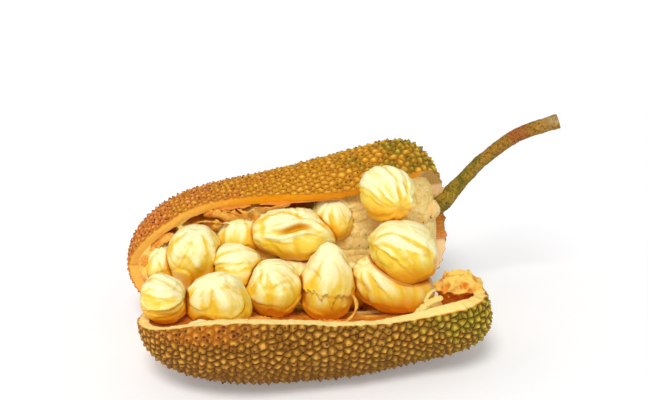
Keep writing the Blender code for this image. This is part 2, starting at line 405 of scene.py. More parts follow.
print("cream is", np.round(paint(250, 225, 165), 2))

# %% [markdown]
# ## Floor
# A plain white table that runs on well past the edge of the view.

# %% Floor
REACH = 12
corners = [(-REACH, -REACH, 0), (REACH, -REACH, 0), (REACH, REACH, 0), (-REACH, REACH, 0)]
table = show("table", bpy.data.meshes.new("table"))
table.data.from_pydata(corners, [], [(0, 1, 2, 3)])
white = Finish(
    "white_table",
    Roughness=0.9,
    Base_Color=(0.86, 0.86, 0.86),
    Emission_Color=(1, 1, 1),
    Emission_Strength=0.2,
    Specular_IOR_Level=0.1,
)
table.data.materials.append(white.material)
print("table", [round(side, 1) for side in table.dimensions])

# %% [markdown]
# ## The shape of a half
# Each half of the rind is a curved shell. Its cross-sections are circles whose radius and height change along the
# fruit, given at six even steps and joined by smooth curves. The wall covers only a part of each circle, from a start
# angle to a stop angle, measured about the axis from straight down towards the back. A sculpted shell could look as
# good, but the same values made the solids, so the fine surface falls where they are.

# %% Half shells
FRONT = {
    "length": 375 * MM,
    "radius": (87, 97, 90, 79, 70, 88),
    "height": (70, 93, 89, 78, 77, 86),
    "start": (-98, -98, -98, -98, -98, -98),
    "stop": (80, 66, 58, 54, 53, 60),
    "blunt": (3.0, 3.9),
    "lean": 0.36,
    "turn": 8,
    "middle": (0, -1 * MM),
    "tilt": 9,
    "cream": (0.45, 0.75),
    "pitch": (7.6, 9.0, 9.4, 9.4, 9.2, 8.8),
    "relief": (3.0, 3.9, 4.2, 4.2, 4.2, 4.0),
}
BACK = {
    "length": 369 * MM,
    "radius": (80, 84, 87, 92, 95, 100),
    "height": (80, 82, 85, 92, 104, 119),
    "start": (-5, -5, -5, -5, -5, -5),
    "stop": (212, 198, 201, 212, 215, 207),
    "blunt": (3.5, 7.6),
    "lean": 0.15,
    "turn": 12,
    "middle": (-29 * MM, 131 * MM),
    "tilt": 0,
    "cream": (0.2, 0.0),
    "pitch": (6.8, 6.8, 7.4, 8.6, 9.8, 10.0),
    "relief": (3.2, 3.2, 3.0, 3.0, 3.6, 4.6),
}
HALVES = {"front": FRONT, "back": BACK}
NEAR_TIP = 0.03
SMALL_ANGLE = 1e-3


def smooth(share, values):
    """A smooth curve through values at even steps from the blossom end, share -1, to the stem end, share +1."""
    return through(values, (share + 1) / 2)


def skin(half, along, angle):
    """Points on the outside of a half: a circle of radius smooth(share) at each share of the length, closed at both
    ends by the root of 1 - |share| ** blunt, turned about Z, and flattened where it would go below the table."""
    share = -np.cos(along)
    power = np.where(share < 0, half["blunt"][0], half["blunt"][1])
    closing = np.sqrt(np.clip(1 - np.abs(share) ** power, 0, None))
    radius = smooth(share, half["radius"]) * closing * MM
    x = share * half["length"] / 2 + half["lean"] * radius * (np.cos(angle) + 0.5) * np.clip(share, 0, 1) ** 2
    y = radius * np.sin(angle)
    z = smooth(share, half["height"]) * MM - radius * np.cos(angle)
    turn = math.radians(half["turn"])
    across = x * math.sin(turn) + y * math.cos(turn) + half["middle"][1]
    return np.stack([x * math.cos(turn) - y * math.sin(turn) + half["middle"][0], across, np.maximum(z, 0)], -1)


def unit(vectors):
    """Vectors made one metre long."""
    return vectors / np.maximum(np.linalg.norm(vectors, axis=-1, keepdims=True), 1e-12)


def directions(half, along, angle):
    """Two directions at a point of the skin: outwards, and round the fruit."""
    along = np.clip(along, NEAR_TIP, math.pi - NEAR_TIP)
    down = unit(skin(half, along + SMALL_ANGLE, angle) - skin(half, along - SMALL_ANGLE, angle))
    around = unit(skin(half, along, angle + SMALL_ANGLE) - skin(half, along, angle - SMALL_ANGLE))
    return unit(np.cross(around, down)), around


def inset(half, along, angle, depth):
    """Points at a depth under the skin, measured square to it."""
    along = np.clip(along, NEAR_TIP, math.pi - NEAR_TIP)
    return skin(half, along, angle) - directions(half, along, angle)[0] * depth


def edges(half, along):
    """The angles where the wall starts and stops, in radians."""
    share = -np.cos(along)
    return np.radians(smooth(share, half["start"])), np.radians(smooth(share, half["stop"]))


for label, half in HALVES.items():
    underside = skin(half, np.array([math.pi / 2]), np.array([0.0]))[0]
    print(label, "half, underside at mid length:", np.round(underside / MM), "mm")

# %% [markdown]
# ## Spines
# The rind of a jackfruit is tiled with blunt, many-sided spines, each one grown from a single flower. They stand in
# rows, slightly shuffled. For every point of the skin the code finds the nearest spine middle and the border with
# the next one. The height rises from that border, which gives flat flanks that meet in ridges, as on a cut gem.
# This is done in geometry, because the spines also shape the outline of the fruit.

# %% Spines
ROW = 0.86  # the step between rows, as a share of the step between spines
SHUFFLE = 0.34  # how far a spine may stray, as a share of the step to the next one
UNEVEN = 0.3  # how much a spine may push its borders out
LINE_STEPS, RING_STEPS = 481, 33


def spine_pitch(half, along):
    """How far apart the spines stand."""
    return smooth(-np.cos(along), half["pitch"]) * MM


def spine_rows(half):
    """Where the rows of spines run: their places along the fruit, and how many spines each row holds."""
    line = np.linspace(0, math.pi, LINE_STEPS)
    start, stop = edges(half, line)
    steps = np.linalg.norm(np.diff(skin(half, line, (start + stop) / 2), axis=0), axis=1)
    passed = np.concatenate([[0], np.cumsum(steps / ROW / spine_pitch(half, (line[1:] + line[:-1]) / 2))])
    rows = np.interp(np.arange(int(passed[-1]) + 1), passed, line)
    start, stop = edges(half, rows)
    ring = skin(half, rows[:, None], start[:, None] + (stop - start)[:, None] * np.linspace(0, 1, RING_STEPS))
    around = np.linalg.norm(np.diff(ring, axis=1), axis=2).sum(axis=1)
    return rows, np.maximum(np.round(around / spine_pitch(half, rows)), 1)


def spines(half, along, angle, points, seed):
    """For each point: its distance to its cell's border, to its spine's middle, and the cell's random number."""
    rows, number = spine_rows(half)
    row = np.interp(along, rows, np.arange(len(rows)))
    places, squares, tags = [], [], []
    for step in (-1, 0, 1, 2):
        k = np.clip(np.floor(row).astype(int) + step, 0, len(rows) - 1)
        start, stop = edges(half, rows[k])
        column = np.floor((angle - start) / (stop - start) * number[k] - 0.5 * (k % 2))
        for side in (-1, 0, 1):
            cell = np.stack([k, (column + side).astype(np.int64), np.zeros_like(k)], -1).astype(np.int64)
            shift, swing = scatter(cell, seed) - 0.5, scatter(cell, seed + 1) - 0.5
            at_row = np.interp(k + 2 * SHUFFLE * shift, np.arange(len(rows)), rows)
            at_column = column + side + 0.5 + 0.5 * (k % 2) + 2 * SHUFFLE * swing
            place = skin(half, at_row, start + (stop - start) * at_column / number[k])
            larger = (UNEVEN * spine_pitch(half, along)) ** 2 * scatter(cell, seed + 2)
            places.append(place)
            squares.append(np.sum((points - place) ** 2, axis=-1) - larger)
            tags.append(scatter(cell, seed + 3))
    places, squares, tags = np.stack(places), np.stack(squares), np.stack(tags)
    nearest = np.argmin(squares, axis=0)[None]
    own = np.take_along_axis(places, nearest[..., None], axis=0)
    apart = np.linalg.norm(places - own, axis=-1)
    border = (squares - np.take_along_axis(squares, nearest, axis=0)) / (2 * np.maximum(apart, 1e-9))
    border = np.where(apart < 1 * MM, 1.0, border).min(axis=0)
    return border, np.linalg.norm(points - own[0], axis=-1), np.take_along_axis(tags, nearest, axis=0)[0]


for label, half in HALVES.items():
    print(label, "half has about", int(spine_rows(half)[1].sum()), "spines")

# %% [markdown]
# ## Rind
# A half shell is one closed surface. Each of its rings runs over the spiny outside, across the cut at the top edge,
# back along the inner wall and across the other cut, so no gap can open between skin and flesh. The knife left the
# cuts slightly wavy and the flesh on them is fibrous, so they swell and sink a little.

# %% Rind surface
SUNK = 1.6 * MM  # the spines start this far under the solid, so that their mean lies on it
CUT_WANDER = 1.3 / 90  # 1.3 mm on a radius of 90 mm, in radians
FLANK, POINT, DOT = 0.44, 0.19, 0.3  # widths of a spine's flank, point and brown dot, as shares of the pitch
RIM_STEPS = np.array((0.04, 0.16, 0.32, 0.48, 0.64, 0.8, 0.94))
INNER_COLUMNS = 19


def rim_of(edge, inner, outward, closing, seed):
    """The cut from the outer edge of the wall to its inner one: it swells outwards, with fibres and hollows."""
    steps = RIM_STEPS[:, None]
    straight = edge[:, None] * (1 - steps) + inner[:, None] * steps
    fibres = rough(straight * np.array((1, 1, 0.4)), 3 * MM, seed + 9)
    hollows = rough(straight, 12 * MM, seed + 10)
    swell = np.sin(math.pi * RIM_STEPS) * (0.6 + 0.9 * fibres + 1.2 * hollows) * MM * closing
    swell[[0, -1]] = 0
    return pushed(straight, outward[:, None], swell)


def rind_grid(half, rows, columns, crowd, seed):
    """The grid of a half shell and its values. `crowd` over 1 puts more columns near the stop edge."""
    along = np.linspace(0, math.pi, rows + 1)[:, None]
    t = 1 - (1 - np.linspace(0, 1, columns + 1)) ** crowd
    start, stop = edges(half, along)
    wander = rough(skin(half, along, stop), 16 * MM, seed + 11) * CUT_WANDER
    start, stop = start + wander, stop + wander
    angle = start + (stop - start) * t
    along = np.broadcast_to(along, angle.shape)
    base = skin(half, along, angle)
    outward, around = directions(half, along, angle)
    border, reach, tag = spines(half, along, angle, base, seed)

    share = -np.cos(along[:, :1])
    pitch = spine_pitch(half, along)
    relief = smooth(share, half["relief"]) * MM * (1 - 0.3 * np.abs(share) ** 8) * (0.75 + 0.5 * tag)
    flank = np.clip(border / (FLANK * pitch), 0, 1)
    height = relief * (0.7 * flank + 0.42 * bell(reach, POINT * pitch)) + 0.3 * MM * rough(base, 2.6 * MM, seed + 5)
    closing = ease(0, 0.05, np.minimum(along, math.pi - along))
    outside = pushed(base, outward, (height - SUNK) * closing)
    outside[..., 2] = np.maximum(outside[..., 2], 0)
    outside = pinched(outside)

    tilt = np.radians(half["tilt"]) * (0.12 + 0.88 * ease(0.3, 0.85, share)) * ease(1.0, 0.97, share)
    inner_angle = start - tilt + (stop - start + tilt) * np.linspace(1, 0, INNER_COLUMNS)
    inner = inset(half, along[:, :1], inner_angle, WALL)
    inner[..., 2] += 1.5 * MM * rough(inner, 8 * MM, seed + 7, 4)
    inner = pinched(inner)
    stop_rim = rim_of(outside[:, -1], inner[:, 0], around[:, -1], closing[:, :1], seed)
    start_rim = rim_of(outside[:, 0], inner[:, -1], -around[:, 0], closing[:, :1], seed)[:, ::-1]
    points = np.concatenate([outside, stop_rim, inner, start_rim, outside[:, :1]], axis=1)

    def over_ring(value, on_rim, on_inner):
        rim = np.broadcast_to(on_rim, stop_rim.shape[:2])
        flat = np.full(inner.shape[:2], on_inner)
        return np.concatenate([value, rim, flat, rim[:, ::-1], value[:, :1]], axis=1)

    none = np.zeros(border.shape)
    return points, {
        "flank": over_ring(flank, 1.0, 1.0),
        "tip": over_ring(1 - np.clip(reach / (DOT * pitch), 0, 1), 0.0, 0.0),
        "rim": over_ring(ease(26, 8, np.degrees(angle - start)), 0.0, 0.0),
        "cell": over_ring(tag, 0.5, 0.5),
        "cut": over_ring(none, 1.0, 1.0),
        "depth": over_ring(none, RIM_STEPS, 1.0),
        "share": np.broadcast_to(share, points.shape[:2]),
    }


shells = {
    "front": rind_grid(FRONT, rows=390, columns=212, crowd=1.0, seed=3),
    "back": rind_grid(BACK, rows=344, columns=240, crowd=1.5, seed=40),
}
for label, (points, _) in shells.items():
    print(label, "rind grid", points.shape[:2], "reaches", np.round(points.max(axis=(0, 1)) / MM), "mm")

# %% [markdown]
# ## Finish of the rind
# The spines are tan with olive between them, each spine a little different from the next, and its tip has dried to a
# brown dot. Their tops carry a painted highlight, and their flanks and the grooves between them painted shade, which
# also darkens the front half towards the table. The colour drifts along the fruit: rusty at one end, green towards
# the stem. The cut flesh is cream, golden next to the skin, and round the stem it is pink and orange under a brown
# crust.
# White latex has run down one end and dried there. One noise would spread the same mottle everywhere, so the mesh
# itself carries where each flank, tip, cut and mark lies, and the coats follow it.


# %% Rind finish
def rind_finish(name, top, second_top, side, groove, flesh, deep_flesh):
    """Tops with a painted highlight over flanks and grooves in painted shade, dots on the tips, and cut flesh where
    the knife went.
    """
    f = Finish(name, Specular_IOR_Level=0.22)
    at = f.place()
    patches = f.noise(at, 26, 3)
    grain = f.noise(at, 620, 3, 0.7)
    streaks = f.noise(f.place((260, 260, 900)), 1.0, 4, 0.7)
    cell, flank, warm, cut = (f.carried(key) for key in ("cell", "flank", "warm", "cut"))
    green = (f.carried("green") + 0.9 * (patches - 0.5) + 0.5 * (cell - 0.5)).rise(0.3, 0.95)
    rust = (f.carried("rust") + 0.6 * (cell - 0.5) + patches - 0.5).rise(0.3, 1.0)
    mixed = (cell + patches - 0.5).rise(0.25, 0.85)
    # Painted light on the spines: the lit colour is a painted highlight on each top, the shaded one painted shade on
    # the flanks.
    lit = f.coats(top, (mixed, second_top), (green, (214, 184, 60)), (rust, (248, 172, 108)))
    shaded = f.coats(side, (green, (134, 116, 10)), (rust * 0.8, (196, 104, 40)))
    singed = f.carried("spots") + 0.9 * f.carried("rim") * f.carried("charred")
    dots = f.carried("tip") * (0.4 + 0.9 * singed + 0.6 * (cell - 0.5))
    outer = f.coats(
        shaded,
        ((flank + 0.5 * (grain - 0.5)).rise(0.3, 0.95), lit),
        ((grain - 0.5).rise(0.0, 0.4) * 0.45, (120, 62, 4)),
        # painted shade: the grooves between the spines go near black
        (1 - flank.rise(0.0, 0.26), groove),
        # painted shade: the front half darker towards the table
        (f.carried("belly_shade") * 0.6, (108, 66, 4)),
        ((singed + 0.5 * (patches - 0.5)).rise(0.5, 1.4) * 0.4, (236, 132, 24)),
        (dots.rise(0.25, 0.7) * 0.88, (78, 26, 12)),
        (f.carried("latex").rise(0.35, 0.75), (206, 204, 188)),
        (f.carried("bruise").rise(0.2, 0.8) * 0.85, (58, 30, 34)),
    )
    inner = f.coats(
        flesh,
        (warm, deep_flesh),
        ((streaks - 0.45).rise(0.0, 0.3) * 0.5 * (1 - 0.8 * warm.rise(0.3, 0.9)), (255, 228, 150)),
        ((0.5 - streaks).rise(0.0, 0.3) * 0.3, (232, 142, 20)),
        (1 - f.carried("depth").rise(0.02, 0.2), (216, 138, 26)),
        (f.carried("pink").rise(0.1, 0.9), (255, 218, 160)),
        ((f.carried("crust") + 0.5 * (streaks - 0.5)).rise(0.2, 0.8) * 0.85, (186, 140, 58)),
        (f.carried("orange").rise(0.1, 0.9) * streaks.rise(0.2, 0.6), (206, 122, 40)),
        ((f.carried("stain") + 0.6 * (streaks - 0.5)).rise(0.3, 0.8) * 0.9, (252, 158, 10)),
    )
    colour = f.coats(outer, (cut.rise(0.3, 0.7), inner))
    return f.finish(colour, 0.6 + 0.25 * grain, 0.6 * grain + 0.4 * streaks * cut, 0.7 * MM)


# How far each look has gone at six even steps along the fruit, on the front half and on the back half.
DRIFTS = {
    "green": ((0.35, 0.3, 0.38, 0.42, 0.58, 0.88), (0.0, 0.05, 0.2, 0.28, 0.55, 0.85)),
    "rust": ((0.35, 0.25, 0.3, 0.3, 0.2, 0.0), (0.9, 0.7, 0.35, 0.1, 0.0, 0.0)),
    "spots": ((0.3, 0.3, 0.2, 0.2, 0.15, 0.1), (0.9, 0.8, 0.6, 0.5, 0.5, 0.3)),
    "charred": ((0.4, 1.0, 0.3, 0.3, 0.0, 0.0), (0.0, 0.0, 0.0, 0.0, 0.0, 0.0)),
    "warm": ((0.1, 0.1, 0.05, 0.05, 0.15, 0.5), (0.4, 0.5, 1.0, 1.1, 1.1, 0.9)),
}
# Marks that follow a line: the half that has it, the line's points, its width and its seed.
TRAILS = {
    "latex": (FRONT, ((196, 12, 104), (198, -4, 84), (194, -14, 66), (188, -24, 52), (176, -34, 40)), 6, 5),
    "stain": (FRONT, ((-128, -62, 96), (-100, -62, 95), (-72, -62, 94)), 13, 8),
    "bruise": (BACK, ((146, 165, 118), (150, 166, 100), (153, 164, 88)), 9, 6),
}


def near_path(points, path, width, seed):
    """1 on a path through a few points and 0 a width away from it, with a ragged border."""
    path = np.array(path, float) * MM
    far = np.full(points.shape[:2], 1.0)
    for start, end in zip(path[:-1], path[1:]):
        along = np.clip(np.sum((points - start) * (end - start), -1) / np.sum((end - start) ** 2), 0, 1)
        far = np.minimum(far, np.linalg.norm(points - start - along[..., None] * (end - start), axis=-1))
    return ease(1, 0, (far + 0.5 * width * rough(points, 7 * MM, seed)) / width)


def tinted(half, points, values):
    """A shell with what its finish needs: the drifts along it, its marks, and the flesh round the stem by height."""
    share, height = values.pop("share"), points[..., 2] / MM
    for key, tables in DRIFTS.items():
        values[key] = smooth(share, tables[half is BACK])
    for key, (home, path, width, seed) in TRAILS.items():
        values[key] = near_path(points, path, width * MM, seed) * (home is half)
    at_stem = ease(0.75, 0.9, share) * (half is BACK)
    # Painted shade on the front half, growing towards the table.
    values["belly_shade"] = ease(62, 18, height) * (half is FRONT)
    values["warm"] *= 1 - 0.9 * at_stem * ease(112, 96, height)
    values["pink"] = at_stem * (ease(116, 128, height) + ease(90, 78, height))
    values["orange"] = at_stem * ease(74, 84, height) * ease(124, 114, height)
    values["crust"] = at_stem * ease(150, 164, height)
    return points, values


# The colours: two tops that carry the painted highlight, flank and groove that carry painted shade, flesh and deep
# flesh.
rinds = {
    "front": rind_finish(
        "tan_rind", (232, 174, 68), (204, 140, 36), (142, 88, 6), (46, 27, 0), (255, 232, 148), (255, 206, 90)
    ),
    "back": rind_finish(
        "golden_rind", (246, 196, 72), (236, 170, 34), (206, 134, 12), (140, 80, 2), (255, 202, 100), (252, 166, 0)
    ),
}
for label, half in HALVES.items():
    piece(f"rind_{label}_skin", tinted(half, *shells[label]), rinds[label], "rind", f"rind_{label}")

# %% [markdown]
# ## The bulbs, one by one
# A bulb is a seed wrapped in sweet flesh. Its shape starts as a stretched ball that narrows towards one end. Where
# two bulbs touch they press each other flat: every skin point is pulled in until it lies outside the neighbours. A
# simulation of soft bodies would do that too, but slowly, and never twice alike. The table repeats the solids'
# values: each bulb's place, half sizes, lean in degrees, and how much it narrows.

# %% Bulb table
GAP = 0.3 * MM
NEARBY = 9 * MM
HALVINGS = 12
BULBS = {
    "bulb_01": ((82, 73, 176), (30, 25, 34), -32, 0.10),
    "bulb_02": ((99, 50, 116), (35, 34, 42), -52, 0.08),
    "bulb_03": ((88, 49, 78), (48, 29, 32), 20, 0.0),
    "bulb_04": ((17, 42, 85), (30, 31, 44), 4, 0.30),
    "bulb_05": ((-41, 36, 79), (32, 31, 33), 0, 0.05),
    "bulb_06": ((-84, 58, 94), (28, 28, 30), -35, 0.22),
    "bulb_07": ((-101, -2, 82), (38, 29, 31), 12, 0.15),
    "bulb_08": ((-158, -14, 92), (26, 25, 28), -20, 0.06),
    "bulb_09": ((-132, 70, 102), (30, 31, 37), 14, -0.08),
    "bulb_10": ((-168, 86, 85), (18, 20, 26), 18, 0.10),
    "bulb_11": ((-84, 102, 112), (27, 25, 29), 4, 0.08),
    "bulb_12": ((-21, 89, 119), (47, 28, 29), 8, 0.05),
    "bulb_13": ((22, 112, 131), (26, 25, 27), 14, 0.12),
    "bulb_14": ((-116, -34, 54), (23, 22, 22), -30, 0.10),
    "bulb_15": ((-68, -40, 55), (24, 24, 23), 25, 0.12),
    "bulb_16": ((-20, -34, 50), (27, 24, 22), -10, 0.08),
    "bulb_17": ((32, -20, 43), (26, 23, 21), 20, 0.12),
    "bulb_18": ((84, 2, 41), (24, 17, 14), 0, 0.10),
    "bulb_19": ((-20, 82, 73), (30, 28, 27), 15, 0.10),
    "bulb_20": ((40, 94, 54), (29, 26, 28), -20, 0.08),
    "bulb_21": ((98, 106, 70), (30, 27, 26), 30, 0.10),
}


def bulb_axes(lean):
    """The bulb's own directions: across, depth and along."""
    a = math.radians(lean)
    return np.array([[math.cos(a), 0, -math.sin(a)], [0, 1, 0], [math.sin(a), 0, math.cos(a)]])


def bulb_form(direction, narrow):
    """How far the skin lies from the middle, as a share of the bulb's size: 1 - narrow (1 - h squared) h."""
    height = direction[..., 2]
    return 1 - narrow * (1 - height**2) * height


def inside(points, row):
    """How far points lie from the middle of a bulb: 1 is on its skin."""
    place, sizes, lean, narrow = row
    own = (points - np.array(place) * MM) @ bulb_axes(lean).T / (np.array(sizes) * MM)
    far = np.linalg.norm(own, axis=-1)
    return far / bulb_form(own / np.maximum(far, 1e-9)[..., None], narrow)


def neighbours(name):
    """The bulbs whose boxes come near this one's."""
    boxes = {other: np.array(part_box(other)) for other in BULBS}
    low, high = boxes.pop(name)
    return [other for other, box in boxes.items() if np.all((box[0] < high + NEARBY) & (box[1] > low - NEARBY))]


def halved(low, high, holds):
    """The border between `low`, where something holds, and `high`, where it fails: the span is halved many times."""
    for _ in range(HALVINGS):
        middle = (low + high) / 2
        still = holds(middle)
        low, high = np.where(still, middle, low), np.where(still, high, middle)
    return low, high


def settle(points, name):
    """How far out a bulb's skin can go before it meets a neighbour, as a share of its free size, and how near a
    neighbour it then lies: 1 where they touch, falling to 0 over a quarter of a bulb's size."""
    place, sizes, *_ = BULBS[name]
    middle = np.array(place) * MM
    room = GAP / (min(sizes) * MM)
    close = [BULBS[other] for other in neighbours(name)]

    def gaps(share):
        at = middle + (points - middle) * share[..., None]
        return np.min([inside(at, row) - share for row in close], axis=0) if close else np.ones(share.shape)

    low, high = halved(np.full(points.shape[:2], 0.2), np.ones(points.shape[:2]), lambda share: gaps(share) > room)
    share = np.where(high > 0.999, 1.0, low)
    return share, ease(0.26, 0.0, gaps(share))


print("bulbs next to bulb_05:", neighbours("bulb_05"))

# %% [markdown]
# ## Folds
# The flesh of a bulb is laid in soft folds. They run together at a pinched end, where the bulb hung from the core,
# and that end points another way in every bulb. Each style holds the direction of that end, the number of folds,
# their depth, how far they twist, and how lumpy the whole is. Finer wrinkles follow the folds in places. A bump in
# the finish would leave the outline smooth, so the folds are real relief.

# %% Bulb styles
STYLES = {
    "bulb_01": ((0.46, -0.87, -0.20), 9, 4.2, 0.0, 1.0),
    "bulb_02": ((-0.90, -0.30, 0.30), 8, 1.5, 0.5, 2.2),
    "bulb_03": ((-0.60, -0.30, 0.75), 9, 1.4, 0.5, 2.6),
    "bulb_04": ((0.05, -0.25, 1.00), 6, 0.9, 0.2, 2.0),
    "bulb_05": ((-0.30, -0.30, 0.90), 7, 1.0, 0.4, 3.0),
    "bulb_06": ((-0.90, -0.40, -0.15), 7, 1.7, 0.3, 2.2),
    "bulb_07": ((-0.15, -0.40, 0.95), 5, 1.6, 0.3, 3.6),
    "bulb_08": ((0.95, -0.20, 0.10), 8, 1.8, 0.3, 2.4),
    "bulb_09": ((0.10, -0.30, 0.95), 6, 0.8, 0.4, 2.2),
    "bulb_10": ((0.30, -0.20, 0.90), 6, 1.6, 0.3, 1.4),
    "bulb_11": ((0.00, 0.00, 1.00), 9, 1.1, 0.1, 1.0),
    "bulb_12": ((-1.00, -0.10, 0.05), 8, 1.3, 0.3, 2.6),
    "bulb_13": ((0.00, -0.20, 1.00), 10, 2.0, 0.1, 1.0),
}
PLAIN_STYLE = ((0.2, -0.3, 0.9), 6, 1.4, 0.4, 1.6)
SEEN_STEPS = (110, 150)
HIDDEN_STEPS = (36, 48)


def about(pole, points):
    """Where points lie about a pole: the angle round it, and the cosine of the angle from it."""
    pole = unit(np.array(pole, float))
    right = unit(np.cross(pole, (0.1, 1.0, 0.2)))
    towards = np.cross(right, pole)
    ahead = unit(points)
    return np.arctan2(ahead @ towards, ahead @ right), ahead @ pole


def pleat(phase, power):
    """Round folds with sharp valleys between them: the size of a sine, to a power under 1."""
    return np.abs(np.sin(phase)) ** power


def bulb_grid(name, index):
    """The grid of a bulb and its values: settled among its neighbours, then folded, wrinkled and marked."""
    place, sizes, lean, narrow = BULBS[name]
    pole, number, depth, twist, lumps = STYLES.get(name, PLAIN_STYLE)
    direction = ball(*(SEEN_STEPS if name in STYLES else HIDDEN_STEPS))
    own = direction * bulb_form(direction, narrow)[..., None] * np.array(sizes) * MM
    middle = np.array(place) * MM
    free = own @ bulb_axes(lean) + middle
    share, near = settle(free, name)
    base = middle + (free - middle) * share[..., None]

    # Two sets of folds fan out from the pinched end and fade at both ends, with wrinkles on some patches.
    turn, height = about(pole, (free - middle) / np.array(sizes))
    waist = np.sqrt(np.clip(1 - height**2, 0, 1))
    turn = turn + twist * height + 0.35 * hills(free, 26 * MM, index) * waist + 1.7 * index
    pleats = 0.65 * pleat(number / 2 * turn, 0.7) + 0.35 * pleat((number + 3) / 2 * turn + index, 0.8)
    pleats = pleats * ease(0.05, 0.4, waist) + 0.75 * ease(0.4, 0.05, waist)
    wrinkles = pleat((3 * number + 5) / 2 * turn + 3 * hills(free, 12 * MM, index + 7), 0.6)
    patches = ease(-0.1, 0.6, hills(free, 18 * MM, index + 30)) * ease(0.05, 0.5, waist)
    layer = hills(free, 24 * MM, index + 50) + 0.35 * hills(free, 9 * MM, index + 60)

    # The lift of the skin in millimetres: folds, wrinkles, lumps, slipped layers and a dimple at the pinched end.
    lift = 1.3 * depth * waist * (0.7 + 0.5 * ease(-0.3, 0.9, height)) * (pleats - 0.75)
    lift += 0.45 * patches * (wrinkles - 0.6)
    lift += 1.35 * lumps * rough(free, 30 * MM, 60 + index, 2) + 0.2 * rough(free, 6 * MM, 90 + index)
    lift += 0.8 * np.tanh(layer / 0.1) - 1.6 * ease(0.93, 1.0, height)
    # These values carry painted light: a highlight on ridges, shade in valleys, on the underside and where bulbs
    # touch.
    values = {
        "fold": pleats - 0.25 * patches * (1 - wrinkles) - 0.22 * bell(layer + 0.08, 0.12),
        "inside": np.zeros(height.shape),
        "near": near,
        "under": -unit(base - middle)[..., 2],
    }

    seen = look(free - middle)
    for row in SEAMS.get(name, ()):
        seam(seen, *row, lift, values)
    if name in MARKS:
        MARKS[name](*seen, lift, values)
    reach = 5 * MM * (1 + 4 * waist)
    values["flow"] = np.stack([np.cos(turn) * reach, np.sin(turn) * reach, height * 9 * MM + 0.2 * index], -1)
    lift = lift * MM * (0.2 + 0.8 * ease(0.88, 1.0, share))
    return pinched(pushed(base, unit(base - middle), lift)), values


print("folds on bulb_01:", STYLES["bulb_01"][1], "and on a bulb that hardly shows:", PLAIN_STYLE[1])
